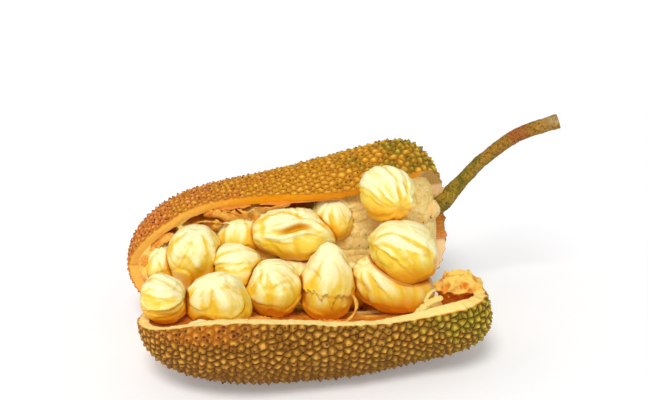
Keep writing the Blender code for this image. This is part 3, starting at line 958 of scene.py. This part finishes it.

# %% [markdown]
# The flesh overlaps itself in places, like the layers of an onion that has slipped. Such a seam follows a curve on
# the bulb's front: one side of it stands higher with a painted highlight on its lip, the curve itself is a groove in
# painted shade, and the low side gets painted amber shade. The curves are written in the bulb's own outline as seen
# from the front: across from -1 to 1, and up from -1 to 1. The high side is on the left of the curve's direction
# where the height is above 0, and otherwise on the right. Each row holds a curve, the height, the groove's depth and
# how much painted shade the low side gets.

# %% Seams
SEAMS = {
    "bulb_01": (
        (((0.42, -0.45), (0.3, 0.1), (0.05, 0.5)), 1.8, 1.0, 0.25),
        (((0.36, -0.5), (-0.1, -0.1), (-0.35, 0.35)), -1.6, 0.8, 0.15),
        (((0.66, -0.3), (0.62, 0.1), (0.45, 0.5)), -1.4, 0.8, 0.1),
    ),
    "bulb_02": (
        (((-0.95, 0.25), (-0.5, 0.0), (-0.15, -0.3), (0.1, -0.5)), 2.6, 1.2, 0.0),
        (((0.95, 0.5), (0.98, 0.0), (0.8, -0.5)), -1.4, 0.6, 0.0),
        (((-0.2, 0.55), (0.3, 0.35), (0.75, -0.05)), 0.6, 0.4, 0.0),
        (((-0.3, 0.2), (0.2, 0.05), (0.6, -0.35)), 0.5, 0.4, 0.0),
    ),
    "bulb_03": (
        (((0.75, 0.1), (0.3, 0.0), (-0.1, 0.2), (-0.5, 0.75)), -1.8, 1.0, 0.0),
        (((-0.55, 0.7), (-0.4, 0.1), (-0.05, -0.45)), 1.6, 0.9, 0.0),
        (((-0.95, 0.0), (-0.6, -0.6), (-0.1, -0.82)), 1.8, 0.9, 0.25),
        (((0.4, 0.3), (0.55, -0.2), (0.5, -0.75)), 1.5, 0.8, 0.1),
    ),
    "bulb_05": (
        (((-0.5, 0.8), (-0.5, 0.3), (-0.3, -0.1)), -1.2, 0.6, 0.0),
        (((0.3, -0.75), (0.65, -0.5), (0.95, -0.15)), -1.9, 0.8, 0.1),
        (((-0.1, -0.2), (0.15, 0.15), (0.6, 0.3)), -0.8, 0.5, 0.0),
        (((-0.9, -0.3), (-0.4, -0.5), (0.2, -0.55)), 1.0, 0.5, 0.15),
    ),
    "bulb_06": (
        (((-1.0, 0.0), (-0.6, 0.12), (-0.15, 0.22)), 2.2, 1.6, 0.2),
        (((-0.95, -0.3), (-0.4, -0.52), (0.25, -0.6), (0.8, -0.45)), 1.6, 0.9, 0.25),
        (((-0.7, 0.0), (-0.1, -0.1), (0.5, 0.0)), 0.7, 0.4, 0.0),
    ),
    "bulb_07": (
        (((-0.3, 0.6), (-0.42, 0.1), (-0.4, -0.5)), -2.0, 0.8, 0.35),
        (((0.15, -0.5), (0.5, -0.48), (0.72, -0.2), (0.72, 0.1), (0.5, 0.4)), 2.4, 0.8, 0.3),
        (((-0.95, -0.35), (-0.75, -0.7), (-0.4, -0.9)), -1.2, 0.7, 0.0),
    ),
    "bulb_08": (
        (((-0.7, -0.45), (-0.03, -0.42), (0.47, -0.3), (0.9, -0.02)), 4.2, 1.2, 0.75),
        (((-0.95, 0.3), (-0.6, 0.68), (-0.1, 0.6), (0.4, 0.45)), -1.2, 0.7, 0.0),
        (((-0.4, -0.7), (0.2, -0.72), (0.8, -0.5)), 1.3, 0.7, 0.3),
        (((-0.5, 0.1), (0.1, 0.0), (0.6, 0.1)), 0.6, 0.4, 0.0),
    ),
    "bulb_09": (
        (((-0.07, -0.98), (0.02, -0.72), (-0.12, -0.5), (-0.45, -0.38), (-0.9, -0.5)), 3.4, 1.1, 0.2),
        (((-0.9, 0.3), (-0.72, -0.2), (-0.45, -0.38)), -1.4, 0.7, 0.0),
        (((-0.25, 0.1), (0.1, -0.25), (0.4, -0.6)), 0.9, 0.6, 0.15),
    ),
    "bulb_10": ((((-0.3, 0.8), (-0.1, 0.1), (0.3, -0.6)), 1.4, 0.9, 0.1),),
    "bulb_12": (
        (((0.05, -0.1), (0.06, -0.5), (0.16, -0.9)), -2.6, 1.2, 0.2),
        (((-0.75, 0.5), (-0.7, 0.0), (-0.5, -0.5)), -1.3, 0.7, 0.1),
        (((-0.6, -0.2), (-0.2, -0.3), (0.05, -0.15)), 1.6, 0.7, 0.5),
        (((0.95, -0.2), (0.7, -0.5), (0.3, -0.75)), -0.8, 0.5, 0.1),
    ),
    "bulb_13": (
        (((-0.2, 0.75), (-0.12, 0.0), (0.15, -0.7)), -1.8, 0.9, 0.3),
        (((0.75, 0.75), (0.85, 0.1), (0.5, -0.7)), -1.5, 0.8, 0.1),
    ),
}
RIGHT = np.array((1.0, 0.0, 0.0))
UP = np.array((0.0, math.sin(ELEVATION), math.cos(ELEVATION)))
TOWARDS = np.array((0.0, -math.cos(ELEVATION), math.sin(ELEVATION)))
SEAM_POINTS = 13
OVER_FADE, GROOVE_WIDTH, LOW_SIDE_SHADE_FADE = 0.28, 0.045, 0.16  # as shares of the bulb's outline


def look(arms):
    """Where points of a bulb are seen from the front, inside its outline, and 1 for those that face the front."""
    aside, upward, near = arms @ RIGHT, arms @ UP, arms @ TOWARDS
    return aside / np.abs(aside).max(), upward / np.abs(upward).max(), ease(-0.1, 0.25, near / near.max())


def seam(seen, path, over, groove, low_side_shade, lift, values):
    """Raises one side by `over`, cuts the curve in by `groove`, with a painted highlight on the lip and painted shade
    on the low side.
    """
    aside, upward, front = seen
    line = through(path, np.linspace(0, 1, SEAM_POINTS))
    here = np.stack([aside, upward], -1)
    best = np.full(aside.shape, 9.0)
    side, passed = np.zeros(aside.shape), np.zeros(aside.shape)
    for k, (start, end) in enumerate(zip(line[:-1], line[1:])):
        step = end - start
        t = np.clip((here - start) @ step / (step @ step), 0, 1)
        arm = here - start - t[..., None] * step
        far = np.linalg.norm(arm, axis=-1)
        closer = far < best
        best = np.where(closer, far, best)
        side = np.where(closer, np.sign(step[0] * arm[..., 1] - step[1] * arm[..., 0]), side)
        passed = np.where(closer, (k + t) / (len(line) - 1), passed)

    wander = 0.03 * hills(here[..., [0, 1, 1]], 0.21, 3) + 0.015 * hills(here[..., [1, 0, 0]], 0.07, 5)
    far = (best * side + wander) * (1 if over > 0 else -1)
    held = front * np.sin(math.pi * np.clip(passed, 0.02, 0.98)) ** 0.5
    lift += held * abs(over) * np.exp(-np.maximum(far, 0) / OVER_FADE) * ease(-0.03, 0.035, far)
    lift -= held * groove * bell(far, GROOVE_WIDTH)
    # Painted light: a highlight on the raised lip, shade in the groove and amber shade on the low side.
    values["fold"] += held * (0.3 * bell(far - 0.1, 0.09) - 0.4 * bell(far + 0.03, 0.07))
    values["inside"] += held * low_side_shade * np.exp(-np.maximum(-far, 0) / LOW_SIDE_SHADE_FADE) * ease(0.02, -0.02, far)


print("seams:", sum(len(rows) for rows in SEAMS.values()))

# %% [markdown]
# A few bulbs have marks that no seam makes: one has split open, one has a torn flap, and one is raw where it hung.


# %% Marks of single bulbs
def split_open(aside, upward, front, lift, values):
    """An arched slit across the upper front, with rolled lips: deep in the slit, raised round it, ragged on top."""
    x = aside - 0.06
    y = upward - 0.27 + 0.5 * x**2 - 0.1 * np.sin(5 * x)
    reach = np.sqrt((x / 0.42) ** 2 + (y / 0.13) ** 2)
    lift += front * (-8 * ease(1.1, 0.3, reach) + 3.4 * bell(reach - 1.7, 0.6))
    lift += 2.6 * ease(0.55, 0.9, upward) * crests(np.stack([aside, upward, front], -1), 0.16, 5)
    # The slit gets the deeper orange of torn flesh with painted shade in its depth, and the lower left painted amber
    # shade.
    values["inside"] += front * (ease(1.3, 0.6, reach) + 0.45 * ease(-0.3, -0.7, upward) * ease(0.3, -0.2, aside))
    # A painted highlight on the rolled lips.
    values["fold"] += 0.5 * front * bell(reach - 1.8, 0.5)


def torn_flap(aside, upward, front, lift, values):
    """A flap whose ragged lower edge stands off the golden flesh under it, with two long teeth."""
    teeth = 0.2 * bell(aside + 0.24, 0.07) + 0.33 * bell(aside - 0.14, 0.1)
    edge = upward + 0.30 + 0.1 * aside + teeth + 0.03 * np.sin(31 * aside) + 0.02 * np.sin(57 * aside)
    under = ease(0.015, -0.015, edge) * front
    lift += 1.3 * bell(np.minimum(edge, 0.3), 0.08) * (edge > 0) * front - 2.0 * under
    # Painted amber shade just under the flap's edge and low under it, in place of some of the underside's painted
    # shade.
    values["inside"] += under * (0.2 * ease(-0.5, -0.9, upward) + 0.35 * ease(-0.1, 0.0, edge))
    values["under"] -= 0.5 * under * ease(-0.95, -0.5, upward)
    # A painted highlight along the flap's edge.
    values["fold"] += 0.3 * (edge > 0) * ease(0.25, 0.0, edge) * front


def ribbed(aside, upward, front, lift, values):
    """Ribs with a painted highlight that run together low on the right, with raw flesh where they meet."""
    far = np.hypot(aside - 0.46, upward + 0.52)
    rib = bell(aside - 0.62 + 0.75 * (upward + 0.1), 0.12) * ease(0.75, 0.3, np.abs(upward - 0.05))
    lift += 3.0 * front * rib * ease(0.1, 0.3, far)
    values["inside"] += 0.55 * front * ease(0.25, 0.05, far)
    # A painted highlight on the ribs.
    values["fold"] += 0.6 * front * rib


MARKS = {"bulb_01": ribbed, "bulb_04": torn_flap, "bulb_12": split_open}
print("marks on", ", ".join(MARKS))

# %% [markdown]
# ## Finish of the bulbs
# Ripe flesh is waxy and lets light in, so a little light is scattered under the surface. The ridges and upper faces
# carry a pale lemon painted highlight, the valleys golden painted shade, and painted orange shade falls underneath
# and where bulbs press each other. Torn flesh is a deeper orange, and the same coat is painted shade under slipped
# layers and flaps. Fine veins follow the folds.


# %% Bulb finish
def bulb_finish():
    """Painted highlight on ridges and tops, painted shade in valleys, below and by neighbours, soft veins along the
    folds.
    """
    f = Finish(
        "ripe_flesh",
        Subsurface_Weight=0.06,
        Subsurface_Radius=(1.0, 0.75, 0.12),
        Subsurface_Scale=0.005,
        Specular_IOR_Level=0.4,
        Coat_Weight=0.1,
    )
    at, flow = f.place(), f.carried("flow", 1)
    cloud = f.noise(at, 34, 3)
    veins = f.noise(flow, 190, 3, 0.6)
    fibres = f.noise(flow, 520, 3, 0.65)
    fold, under, near = (f.carried(key) for key in ("fold", "under", "near"))
    # Painted shade below and where neighbours press, and a painted highlight on upper faces and ridges.
    deep = under.rise(-0.2, 0.7) + near * (0.4 + 0.6 * under.rise(-0.5, 0.4))
    shine = 0.25 - under + 1.0 * (fold - 0.7) + 1.1 * (cloud - 0.5)
    colour = f.coats(
        (244, 200, 38),
        ((fold + 0.9 * (cloud - 0.5)).rise(0.1, 1.0), (250, 224, 86)),
        (shine.rise(0.25, 1.1) * 0.9, (255, 252, 200)),
        ((veins - 0.5).rise(0.0, 0.2) * 0.4, (255, 250, 196)),
        ((0.48 - veins).rise(0.0, 0.2) * 0.25, (250, 210, 84)),
        ((fibres - 0.56).rise(0.0, 0.16) * 0.3, (236, 196, 90)),
        ((deep + 0.7 * (cloud - 0.5)).rise(0.0, 0.9) * 0.9, (248, 176, 16)),
        # painted shade in the creases where bulbs touch
        (near.rise(0.78, 1.0) * 0.8, (204, 124, 4)),
        # the deeper orange of torn flesh, which is also painted shade under slipped layers and flaps
        (f.carried("inside").rise(0.0, 1.0), (226, 164, 18)),
    )
    relief = 0.5 * veins + 0.35 * fibres + 0.2 * f.noise(at, 260, 2)
    return f.finish(colour, 0.34 + 0.2 * cloud, relief, 0.8 * MM)


ripe_flesh = bulb_finish()
for index, name in enumerate(BULBS):
    piece(name + "_flesh", bulb_grid(name, index), ripe_flesh, "bulb", name)

# %% [markdown]
# ## Flesh behind the bulbs
# Between the bulbs lies the rag: the stringy flowers that never ripened. It lines each half, and its open side is a
# rough bed with mounds by the pocket and a hollow pressed in it by every bulb. A point of the bed that falls inside a
# bulb is moved straight back into the flesh until it is clear, by halving the distance again and again. Towards the
# stem the bed of the back half turns granular, like the core.

# %% Rag surface
LINING = WALL - 1 * MM
LINING_COLUMNS = 17
LIP = math.radians(1.5)  # the rag stops this far short of the cuts
ROWS = 300
LOW_DOWN = 1.8  # over 1 moves the swell of the bed towards the edge where the wall starts
DEEPEST = 60 * MM
# A hollow of this depth gets the full brown painted shade.
DARK = 30 * MM  # a hollow this deep is brown
PRESSED = 0.97  # a hollow's size as a share of the bulb's
FRONT_SOCKET = ((149, 6, 74), (20, 18, 27), 0, 0)
BACK_SOCKET = ((-8, 124, 141), (24, 28, 14), 0, 0)
UNDER_TOP = (
    ((-104, 102, 142), (50, 26, 9), -15, 0),
    ((-166, 94, 116), (22, 20, 9), -40, 0),
    ((4, 108, 153), (74, 22, 9), -4, 0),
)
POCKET_WALL = (((125, -8), 17, 30), ((136, 22), 9, 22))


def sink(points, direction, row):
    """How far points inside a bulb-like shape must move along a direction to leave it."""
    taken = inside(points, row) < 1
    span = np.zeros(points.shape[:2]), np.full(points.shape[:2], DEEPEST)
    _, out = halved(*span, lambda shift: inside(pushed(points, direction, shift), row) < 1)
    return np.where(taken, out, 0)


def rag_grid(half, swell, hollows, mounds, columns, seed):
    """The grid of a half's rag: a coarse lining against the wall, then the open side, which swells by a share of the
    sine across it and along it, dense and torn. A mound is a place, a width and a height."""
    along = np.linspace(0, math.pi, ROWS + 1)[:, None]
    start, stop = edges(half, along)
    low, high = start + LIP, stop - LIP
    lining = inset(half, along, low + (high - low) * np.linspace(0, 1, LINING_COLUMNS), LINING)
    t = np.linspace(0, 1, columns + 1)[None, 1:]
    first, last = lining[:, -1:], lining[:, :1]
    facing, turn = (low + high) / 2, math.radians(half["turn"])
    outward = np.stack([np.sin(facing) * math.sin(turn), -np.sin(facing) * math.cos(turn), np.cos(facing)], -1)
    rise = swell * np.sin(math.pi * t**LOW_DOWN) * np.sin(along)
    bed = pushed(first + (last - first) * t[..., None], outward, rise)

    free = np.sin(math.pi * t) ** 0.35 * np.sin(along) ** 0.5
    granular = ease(-0.15, 0.25, -np.cos(along)) * (half is BACK)
    strings = rough(bed * np.array((0.45, 1, 1)), 7 * MM, seed, 4)
    pulled = rough(bed * np.array((0.2, 1, 1)), 3 * MM, seed + 3)
    torn = 2.4 * strings + 2.5 * rough(bed, 26 * MM, seed + 1) + 1.2 * pulled
    bed = pushed(bed, outward, free * torn * MM)
    on_mound = np.zeros(bed.shape[:2])
    for place, width, tall in mounds:
        near = bell(np.linalg.norm(bed[..., :2] / MM - place, axis=-1), width)
        bed[..., 2] += tall * MM * near
        on_mound += near
    bed = pushed(bed, outward, 2.2 * MM * granular * free * rough(bed, 6 * MM, seed + 4, 4))

    deep = np.zeros(bed.shape[:2])
    for row in hollows:
        shift = sink(bed, -outward, row)
        bed = pushed(bed, -outward, shift)
        deep = np.maximum(deep, shift)
    bed = pushed(bed, outward, free * 0.9 * MM * rough(bed, 4 * MM, seed + 2))
    # Painted shade on the front bed, behind the rim and away from the mounds.
    shade_behind_rim = ease(0.1, 0.3, t) * ease(0.95, 0.85, t) * np.clip(1 - 2 * on_mound, 0, 1) * (half is FRONT)

    def beyond_lining(value):
        return np.concatenate([np.zeros(lining.shape[:2]), value], axis=1)

    return pinched(np.concatenate([lining, bed], axis=1)), {
        "deep": beyond_lining(np.maximum(deep / DARK, 0.85 * shade_behind_rim)) * (1 - 0.85 * granular),
        "strings": beyond_lining(strings),
        "cream": beyond_lining(ease(*half["cream"], t) + on_mound) + granular,
        "grains": granular,
    }


pressed = [(place, np.array(sizes) * PRESSED, lean, narrow) for place, sizes, lean, narrow in BULBS.values()]
beds = {
    "front": rag_grid(FRONT, -27 * MM, [*pressed, FRONT_SOCKET], POCKET_WALL, columns=150, seed=70),
    "back": rag_grid(BACK, 30 * MM, [*pressed, BACK_SOCKET, *UNDER_TOP], (), columns=190, seed=80),
}
print("deepest bed:", round(float(beds["back"][1]["deep"].max() * DARK / MM)), "mm")

# %% [markdown]
# Up close the rag is bundles of golden fibres that run along the fruit. A noise that is squeezed along X draws them,
# and the depth that the mesh carries turns the gaps brown, as if light hardly got there.


# %% Rag finish
def rag_finish():
    """Golden fibres, cream near the cut, with painted shade that goes deep orange and then brown in the hollows and
    gaps.
    """
    f = Finish("torn_rag", Subsurface_Weight=0.15, Subsurface_Radius=(1.0, 0.45, 0.1), Subsurface_Scale=0.004)
    at = f.place()
    fibres = f.noise(f.place((120, 520, 520)), 1.0, 4, 0.7)
    cloud = f.noise(at, 45, 3)
    grains = f.noise(at, 420, 4, 0.75)
    specks = f.noise(at, 300, 2, 0.7)
    crumbly = f.carried("grains")
    deep = f.carried("deep") + 0.3 * (cloud - 0.5)
    colour = f.coats(
        (232, 146, 26),
        ((fibres + 0.5 * f.carried("strings")).rise(0.3, 0.75), (255, 210, 98)),
        ((cloud - 0.45).rise(0.0, 0.3) * 0.6, (246, 176, 60)),
        ((f.carried("cream") + 0.5 * (cloud - 0.5)).rise(0.2, 0.8) * 0.8, (255, 226, 132)),
        ((grains - 0.48).rise(0.0, 0.16) * crumbly * 0.8, (255, 242, 190)),
        ((0.47 - grains).rise(0.0, 0.16) * crumbly * 0.55, (255, 184, 80)),
        # painted shade: deep orange, then brown, as the hollows deepen
        (deep.rise(0.05, 0.5) * 0.9, (230, 134, 12)),
        (deep.rise(0.45, 1.2) * 0.8, (176, 92, 12)),
        ((specks - 0.62).rise(0.0, 0.1) * 0.5, (150, 84, 30)),
    )
    return f.finish(colour, 0.5 + 0.25 * fibres, fibres, 1.0 * MM)


torn_rag = rag_finish()
for label, grid in beds.items():
    piece(f"rag_{label}_bed", grid, torn_rag, "rag", f"rag_{label}")

# %% [markdown]
# ## Core and stem
# The stem runs on into a spongy core. Both are tubes carried along a line of points: the points are joined by a
# smooth curve, and at each place a ring stands square to it. A curve object with a bevel makes such a tube too, but
# its points could then not be lifted one by one. Each point of the core's line also holds a radius.

# %% Tubes along a line
CORE = (
    (147, 157, 127, 15),
    (120, 146, 120, 20),
    (84, 135, 112, 24),
    (40, 124, 103, 24),
    (-10, 117, 96, 22),
    (-60, 114, 90, 16),
)
STEM = (
    (143, 158, 124),
    (152, 158, 132),
    (163, 160, 145),
    (176, 161, 160),
    (190, 162, 176),
    (205, 163, 189),
    (220, 164, 201),
    (234, 165, 210),
    (248, 166, 216),
    (264, 167, 221),
    (280, 168, 226),
)
STEM_RADIUS = 8.1 * MM


def tube_grid(line, radii, columns):
    """Rings square to a line of points (rows, 3): each spans two directions taken from the line and the vertical."""
    ahead = unit(np.gradient(line, axis=0))
    side = unit(np.cross(ahead, np.array((0, 0, 1.0))))
    up = np.cross(side, ahead)
    around = np.linspace(0, 2 * math.pi, columns + 1)[:, None]
    ring = side[:, None] * np.cos(around) + up[:, None] * np.sin(around)
    return pushed(line[:, None], ring, np.broadcast_to(radii[:, None], ring.shape[:2])), ring


print("the core is", CORE[0][3] * 2, "mm thick at the stem, and the stem", round(2 * STEM_RADIUS / MM), "mm")

# %% [markdown]
# The core is granular, like damp cork: two sizes of hills roughen it, and a fine noise breaks its colour into grains.


# %% Core
def core_grid(rows, columns):
    """The core: round ends from the root of a sine, with coarse grains and larger lumps on its side."""
    v = np.linspace(0, 1, rows + 1)
    t = (1 - np.cos(math.pi * v)) / 2
    line = through(CORE, t) * MM
    closing = np.sqrt(np.clip(np.sin(math.pi * v), 0, 1))
    points, ring = tube_grid(line[:, :3], line[:, 3] * closing, columns)
    grain = rough(points, 5 * MM, 21, 4)
    lift = (2.2 * grain + 1.8 * rough(points, 16 * MM, 22)) * MM * closing[:, None]
    return pinched(pushed(points, ring, lift)), {"grain": grain, "end": 1 - t[:, None]}


def core_finish():
    """Peach and tan grains with dark specks, paler towards the stem, orange in places."""
    f = Finish("spongy_core", Subsurface_Weight=0.1, Subsurface_Radius=(1.0, 0.5, 0.2), Subsurface_Scale=0.003)
    at = f.place()
    grain = f.noise(at, 420, 4, 0.75)
    cloud = f.noise(at, 55, 3)
    specks = f.noise(at, 240, 2, 0.7)
    colour = f.coats(
        (255, 206, 104),
        ((grain + 0.3 * f.carried("grain")).rise(0.3, 0.7), (255, 236, 158)),
        ((cloud - 0.5).rise(0.0, 0.25) * 0.6, (255, 176, 50)),
        ((f.carried("end") - 0.8).rise(0.0, 0.2) * 0.6, (252, 208, 150)),
        ((specks - 0.63).rise(0.0, 0.06) * 0.8, (120, 74, 34)),
    )
    return f.finish(colour, 0.7 + 0.1 * grain, grain, 1.4 * MM)


piece("core_sponge", core_grid(rows=150, columns=110), core_finish(), "core", "core")

# %% [markdown]
# The stem is knobbly, with a swollen foot and a clean cut at its end. Its colour changes along its length, so each
# ring carries how far along it stands.


# %% Stem
def stem_grid(rows, columns):
    """The stem: thick at its foot, waisted, swollen at the cut, with knobs and bumps. Its cut end is a flat disc."""
    t = np.linspace(0, 1, rows + 1)
    line = through(STEM, t) * MM
    radii = STEM_RADIUS * (1 + 0.32 * ease(0.3, 0.06, t) - 0.06 * np.sin(math.pi * t) + 0.06 * ease(0.9, 1.0, t))
    points, ring = tube_grid(line, radii, columns)
    bumps = rough(points * np.array((0.6, 1, 0.6)), 9 * MM, 31, 3)
    points = pushed(points, ring, (1.0 * bumps + 0.6 * rough(points, 3 * MM, 33)) * MM)
    foot, cut = (points[end].mean(axis=0) for end in (0, -1))
    ahead = unit(line[-1] - line[-2])
    disc = [[cut + (points[-1] - cut) * size + ahead * 0.6 * MM * (1 - size)] for size in (0.93, 0.6, 0.3, 0.0)]
    closed = np.concatenate([np.broadcast_to(foot, points[:1].shape), points, *disc])
    t = np.concatenate([[0], t, np.ones(len(disc))])
    on_cut = np.concatenate([np.zeros(rows + 2), (0.6, 1, 1, 1)])
    return closed, {"t": t[:, None], "cut": on_cut[:, None]}


def stem_finish():
    """Olive bark at the foot, browner up the stem and rusty near the end, specked all over, with dried latex."""
    f = Finish("mottled_stem", Specular_IOR_Level=0.35)
    at, t = f.place(), f.carried("t")
    cloud = f.noise(at, 90, 4, 0.6)
    speck = f.noise(at, 400, 4, 0.75)
    rusty = t.rise(0.58, 0.68) * (1 - t).rise(0.14, 0.26)
    latex = (t - 0.93 + 0.4 * (speck - 0.5)).rise(0.0, 0.08) * (cloud - 0.48).rise(0.0, 0.1)
    colour = f.coats(
        (118, 108, 6),
        (cloud.rise(0.35, 0.65), (178, 144, 30)),
        ((t + 0.6 * (cloud - 0.5)).rise(0.3, 0.6) * 0.75, (172, 114, 26)),
        ((rusty * (0.4 + cloud)).rise(0.35, 0.9) * 0.7, (166, 82, 24)),
        ((t - 0.84 + 0.2 * (cloud - 0.5)).rise(0.0, 0.08) * 0.6, (178, 138, 60)),
        ((speck - 0.5).rise(0.0, 0.1) * 0.8, (88, 48, 8)),
        ((0.44 - speck).rise(0.0, 0.1) * 0.5, (204, 164, 70)),
        ((0.1 - t + 0.1 * (cloud - 0.5)).rise(0.0, 0.1) * 0.6, (120, 70, 46)),
        (latex * 0.7, (196, 204, 180)),
        (f.carried("cut").rise(0.3, 0.8), (178, 160, 110)),
    )
    return f.finish(colour, 0.55 + 0.2 * speck, speck, 1.5 * MM)


piece("stem_bark", stem_grid(rows=230, columns=40), stem_finish(), "stem", "stem")

# %% [markdown]
# ## Torn core
# At the stem end of the front half a mass of broken core hangs over an empty pocket. Its upper part is pushed in and
# out by hills whose crests are sharp, which is what torn fibres look like, and the part below is the pocket's wall.


# %% Torn core
def tuft_grid(rows, columns):
    """A ball stretched to the node's box, crumpled above and drawn in below."""
    low, high = np.array(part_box("torn_core")) + np.array(((0, -3, -15), (10, 6, -2))) * MM
    direction = ball(rows, columns)
    points = (low + high) / 2 + np.sign(direction) * np.abs(direction) ** 0.8 * (high - low) / 2
    upper = ease(0.0, 0.3, direction[..., 2] + 0.15 * hills(points, 6 * MM, 50))
    crest = crests(points * np.array((1, 1, 1.4)), 11 * MM, 51) + 0.6 * crests(points, 4.5 * MM, 52)
    points = pushed(points, direction, (1.5 + 3.6 * crest) * upper * MM)
    points[..., 2] += 3 * MM * upper
    points[..., 1] += 11 * MM * (1 - upper) * ease(0.1, -0.5, direction[..., 1])
    # Colour: the pocket's wall below is its own deep orange with painted shade, and the valleys between the crests
    # painted shade.
    deep = 0.62 * (1 - upper) + np.clip(0.2 - 0.4 * crest, 0, 0.45) * upper
    return pinched(points), {"deep": deep, "strings": crest, "cream": 0.25 * upper}


piece("torn_core_tuft", tuft_grid(rows=120, columns=160), torn_rag, "core", "torn_core")

# %% [markdown]
# ## Torn membranes
# Where the halves were pulled apart, thin strips of flesh have stayed behind: curled ones and a fringe under the top
# edge, cream ones by the pocket, small ones behind the front rim, a strap under one bulb, and broad ones low down
# between the two halves, painted brown as shade. Each strip follows a few points, with a direction across it, a half
# width in millimetres and a curl in radians. Each kind is one mesh, with its own depth of painted shade and share of
# cream.


# %% Strips
def strip_grid(path, across, width, curl, seed, rows=40, columns=10):
    """A thin closed strip: over its top from edge to edge, and back underneath. Its edges are ragged."""
    t = np.linspace(0, 1, rows + 1)
    line = through(path, t) * MM
    ahead = unit(np.gradient(line, axis=0))
    across = np.array(across, float)
    side = unit(across - (ahead @ across)[:, None] * ahead)
    up = np.cross(ahead, side)
    s = np.concatenate([np.linspace(-1, 1, columns), np.linspace(1, -1, columns)])
    layer = np.repeat((1, -1), columns)
    along = np.stack([t * 60 * MM, np.full(t.shape, 7.0), np.full(t.shape, seed + 0.5)], -1)
    left, right = (1 + 0.55 * rough(along + np.array((0, shift, 0)), 5 * MM, seed + 3)[:, None] for shift in (0, 1))
    ends = np.sin(math.pi * t)[:, None] ** 0.35
    reach = width * MM * ends * np.where(s < 0, left, right)
    bend = (curl * s)[:, None]
    flat = pushed(line[:, None], side[:, None], reach * np.sin(curl * s) / curl)
    flat = pushed(flat, up[:, None], reach * (1 - np.cos(curl * s)) / curl)
    outward = up[:, None] * np.cos(bend) - side[:, None] * np.sin(bend)
    lift = 1.5 * rough(flat, 9 * MM, seed, 3) + 0.55 * np.sqrt(np.clip(1 - s**2, 0, 1)) * layer
    return pinched(pushed(flat, outward, lift * ends * MM)), rough(flat, 4 * MM, seed + 9)


STRIPS = {
    "strips_under_lip": (0.2, 0.25, (
        (((-134, 92, 131), (-118, 88, 136), (-104, 90, 133), (-90, 94, 129)), (0, -0.6, 1), 11, 1.4),
        (((-122, 94, 140), (-106, 90, 142), (-92, 90, 138), (-78, 94, 136)), (0, -0.5, 1), 11, -1.2),
        (((-104, 97, 147), (-90, 93, 144), (-78, 92, 142), (-66, 96, 146)), (0, -0.7, 1), 8, 1.0),
        (((-114, 88, 126), (-109, 84, 132), (-106, 87, 139)), (1, -0.4, 0), 8, 1.8),
        (((-84, 92, 149), (-75, 90, 143), (-70, 93, 135)), (1, -0.4, 0.2), 4, -1.6),
        (((-66, 98, 149), (-52, 96, 149), (-38, 97, 151), (-24, 99, 153)), (0, -0.7, 1), 5, 1.2),
        (((-186, 88, 98), (-180, 85, 109), (-171, 85, 117), (-160, 87, 123)), (0.5, -0.7, -0.4), 8, 1.2),
        (((-176, 84, 108), (-166, 82, 116), (-154, 84, 122)), (0.4, -0.7, -0.6), 7, -1.2),
    )),
    "strips_by_pocket": (0.0, 0.9, (
        (((108, -34, 80), (118, -26, 87), (130, -18, 91), (140, -12, 92)), (0, 1, 0.6), 4.5, 0.9),
        (((120, -12, 86), (126, -2, 92), (133, 8, 93)), (1, 0, 0.5), 4.0, 1.0),
    )),
    "strap": (0.15, 0.0, (
        (((8, 10, 53), (20, 5, 51), (33, 3, 53), (42, 3, 61), (47, 6, 72), (44, 10, 84)), (0.2, -0.3, 1), 4.5, 2.4),
    )),
    "fringe": (0.45, 0.0, (
        (((-120, 89, 144), (-95, 94, 150), (-68, 97, 152)), (0, 0.3, 1), 3.0, 0.5),
        (((-60, 97, 153), (-30, 98, 155), (10, 99, 158), (40, 101, 161)), (0, 0.3, 1), 2.2, 0.5),
    )),
    "strips_by_rim": (0.35, 0.2, (
        (((-66, -66, 93), (-54, -60, 91), (-42, -64, 93)), (0, 1, 0.5), 3, 1.0),
        (((-30, -60, 88), (-16, -56, 85), (0, -60, 88)), (0, 1, 0.4), 4, -1.0),
        (((6, -54, 85), (20, -50, 81), (34, -54, 83)), (0, 1, 0.5), 4, 1.0),
    )),
    "strips_between_halves": (0.75, 0.0, [
        (((x, 62, 34), (x + 3, 82, 30 + 6 * (k % 2)), (x + 8, 104, 24), (x + 12, 126, 16)), (1, 0, 0.2), 13, 0.4)
        for k, x in enumerate(range(14, 150, 17))
    ]),
}

# Each kind's depth is how much painted shade its strips get.
for name, (deep, cream, rows) in STRIPS.items():
    grids = [strip_grid(*row, 10 * k + len(name)) for k, row in enumerate(rows)]
    points, fibres = (np.stack(part) for part in zip(*grids))
    piece(name, (points, {"strings": fibres, "deep": deep + 0.2 * fibres, "cream": cream}), torn_rag, "rag")
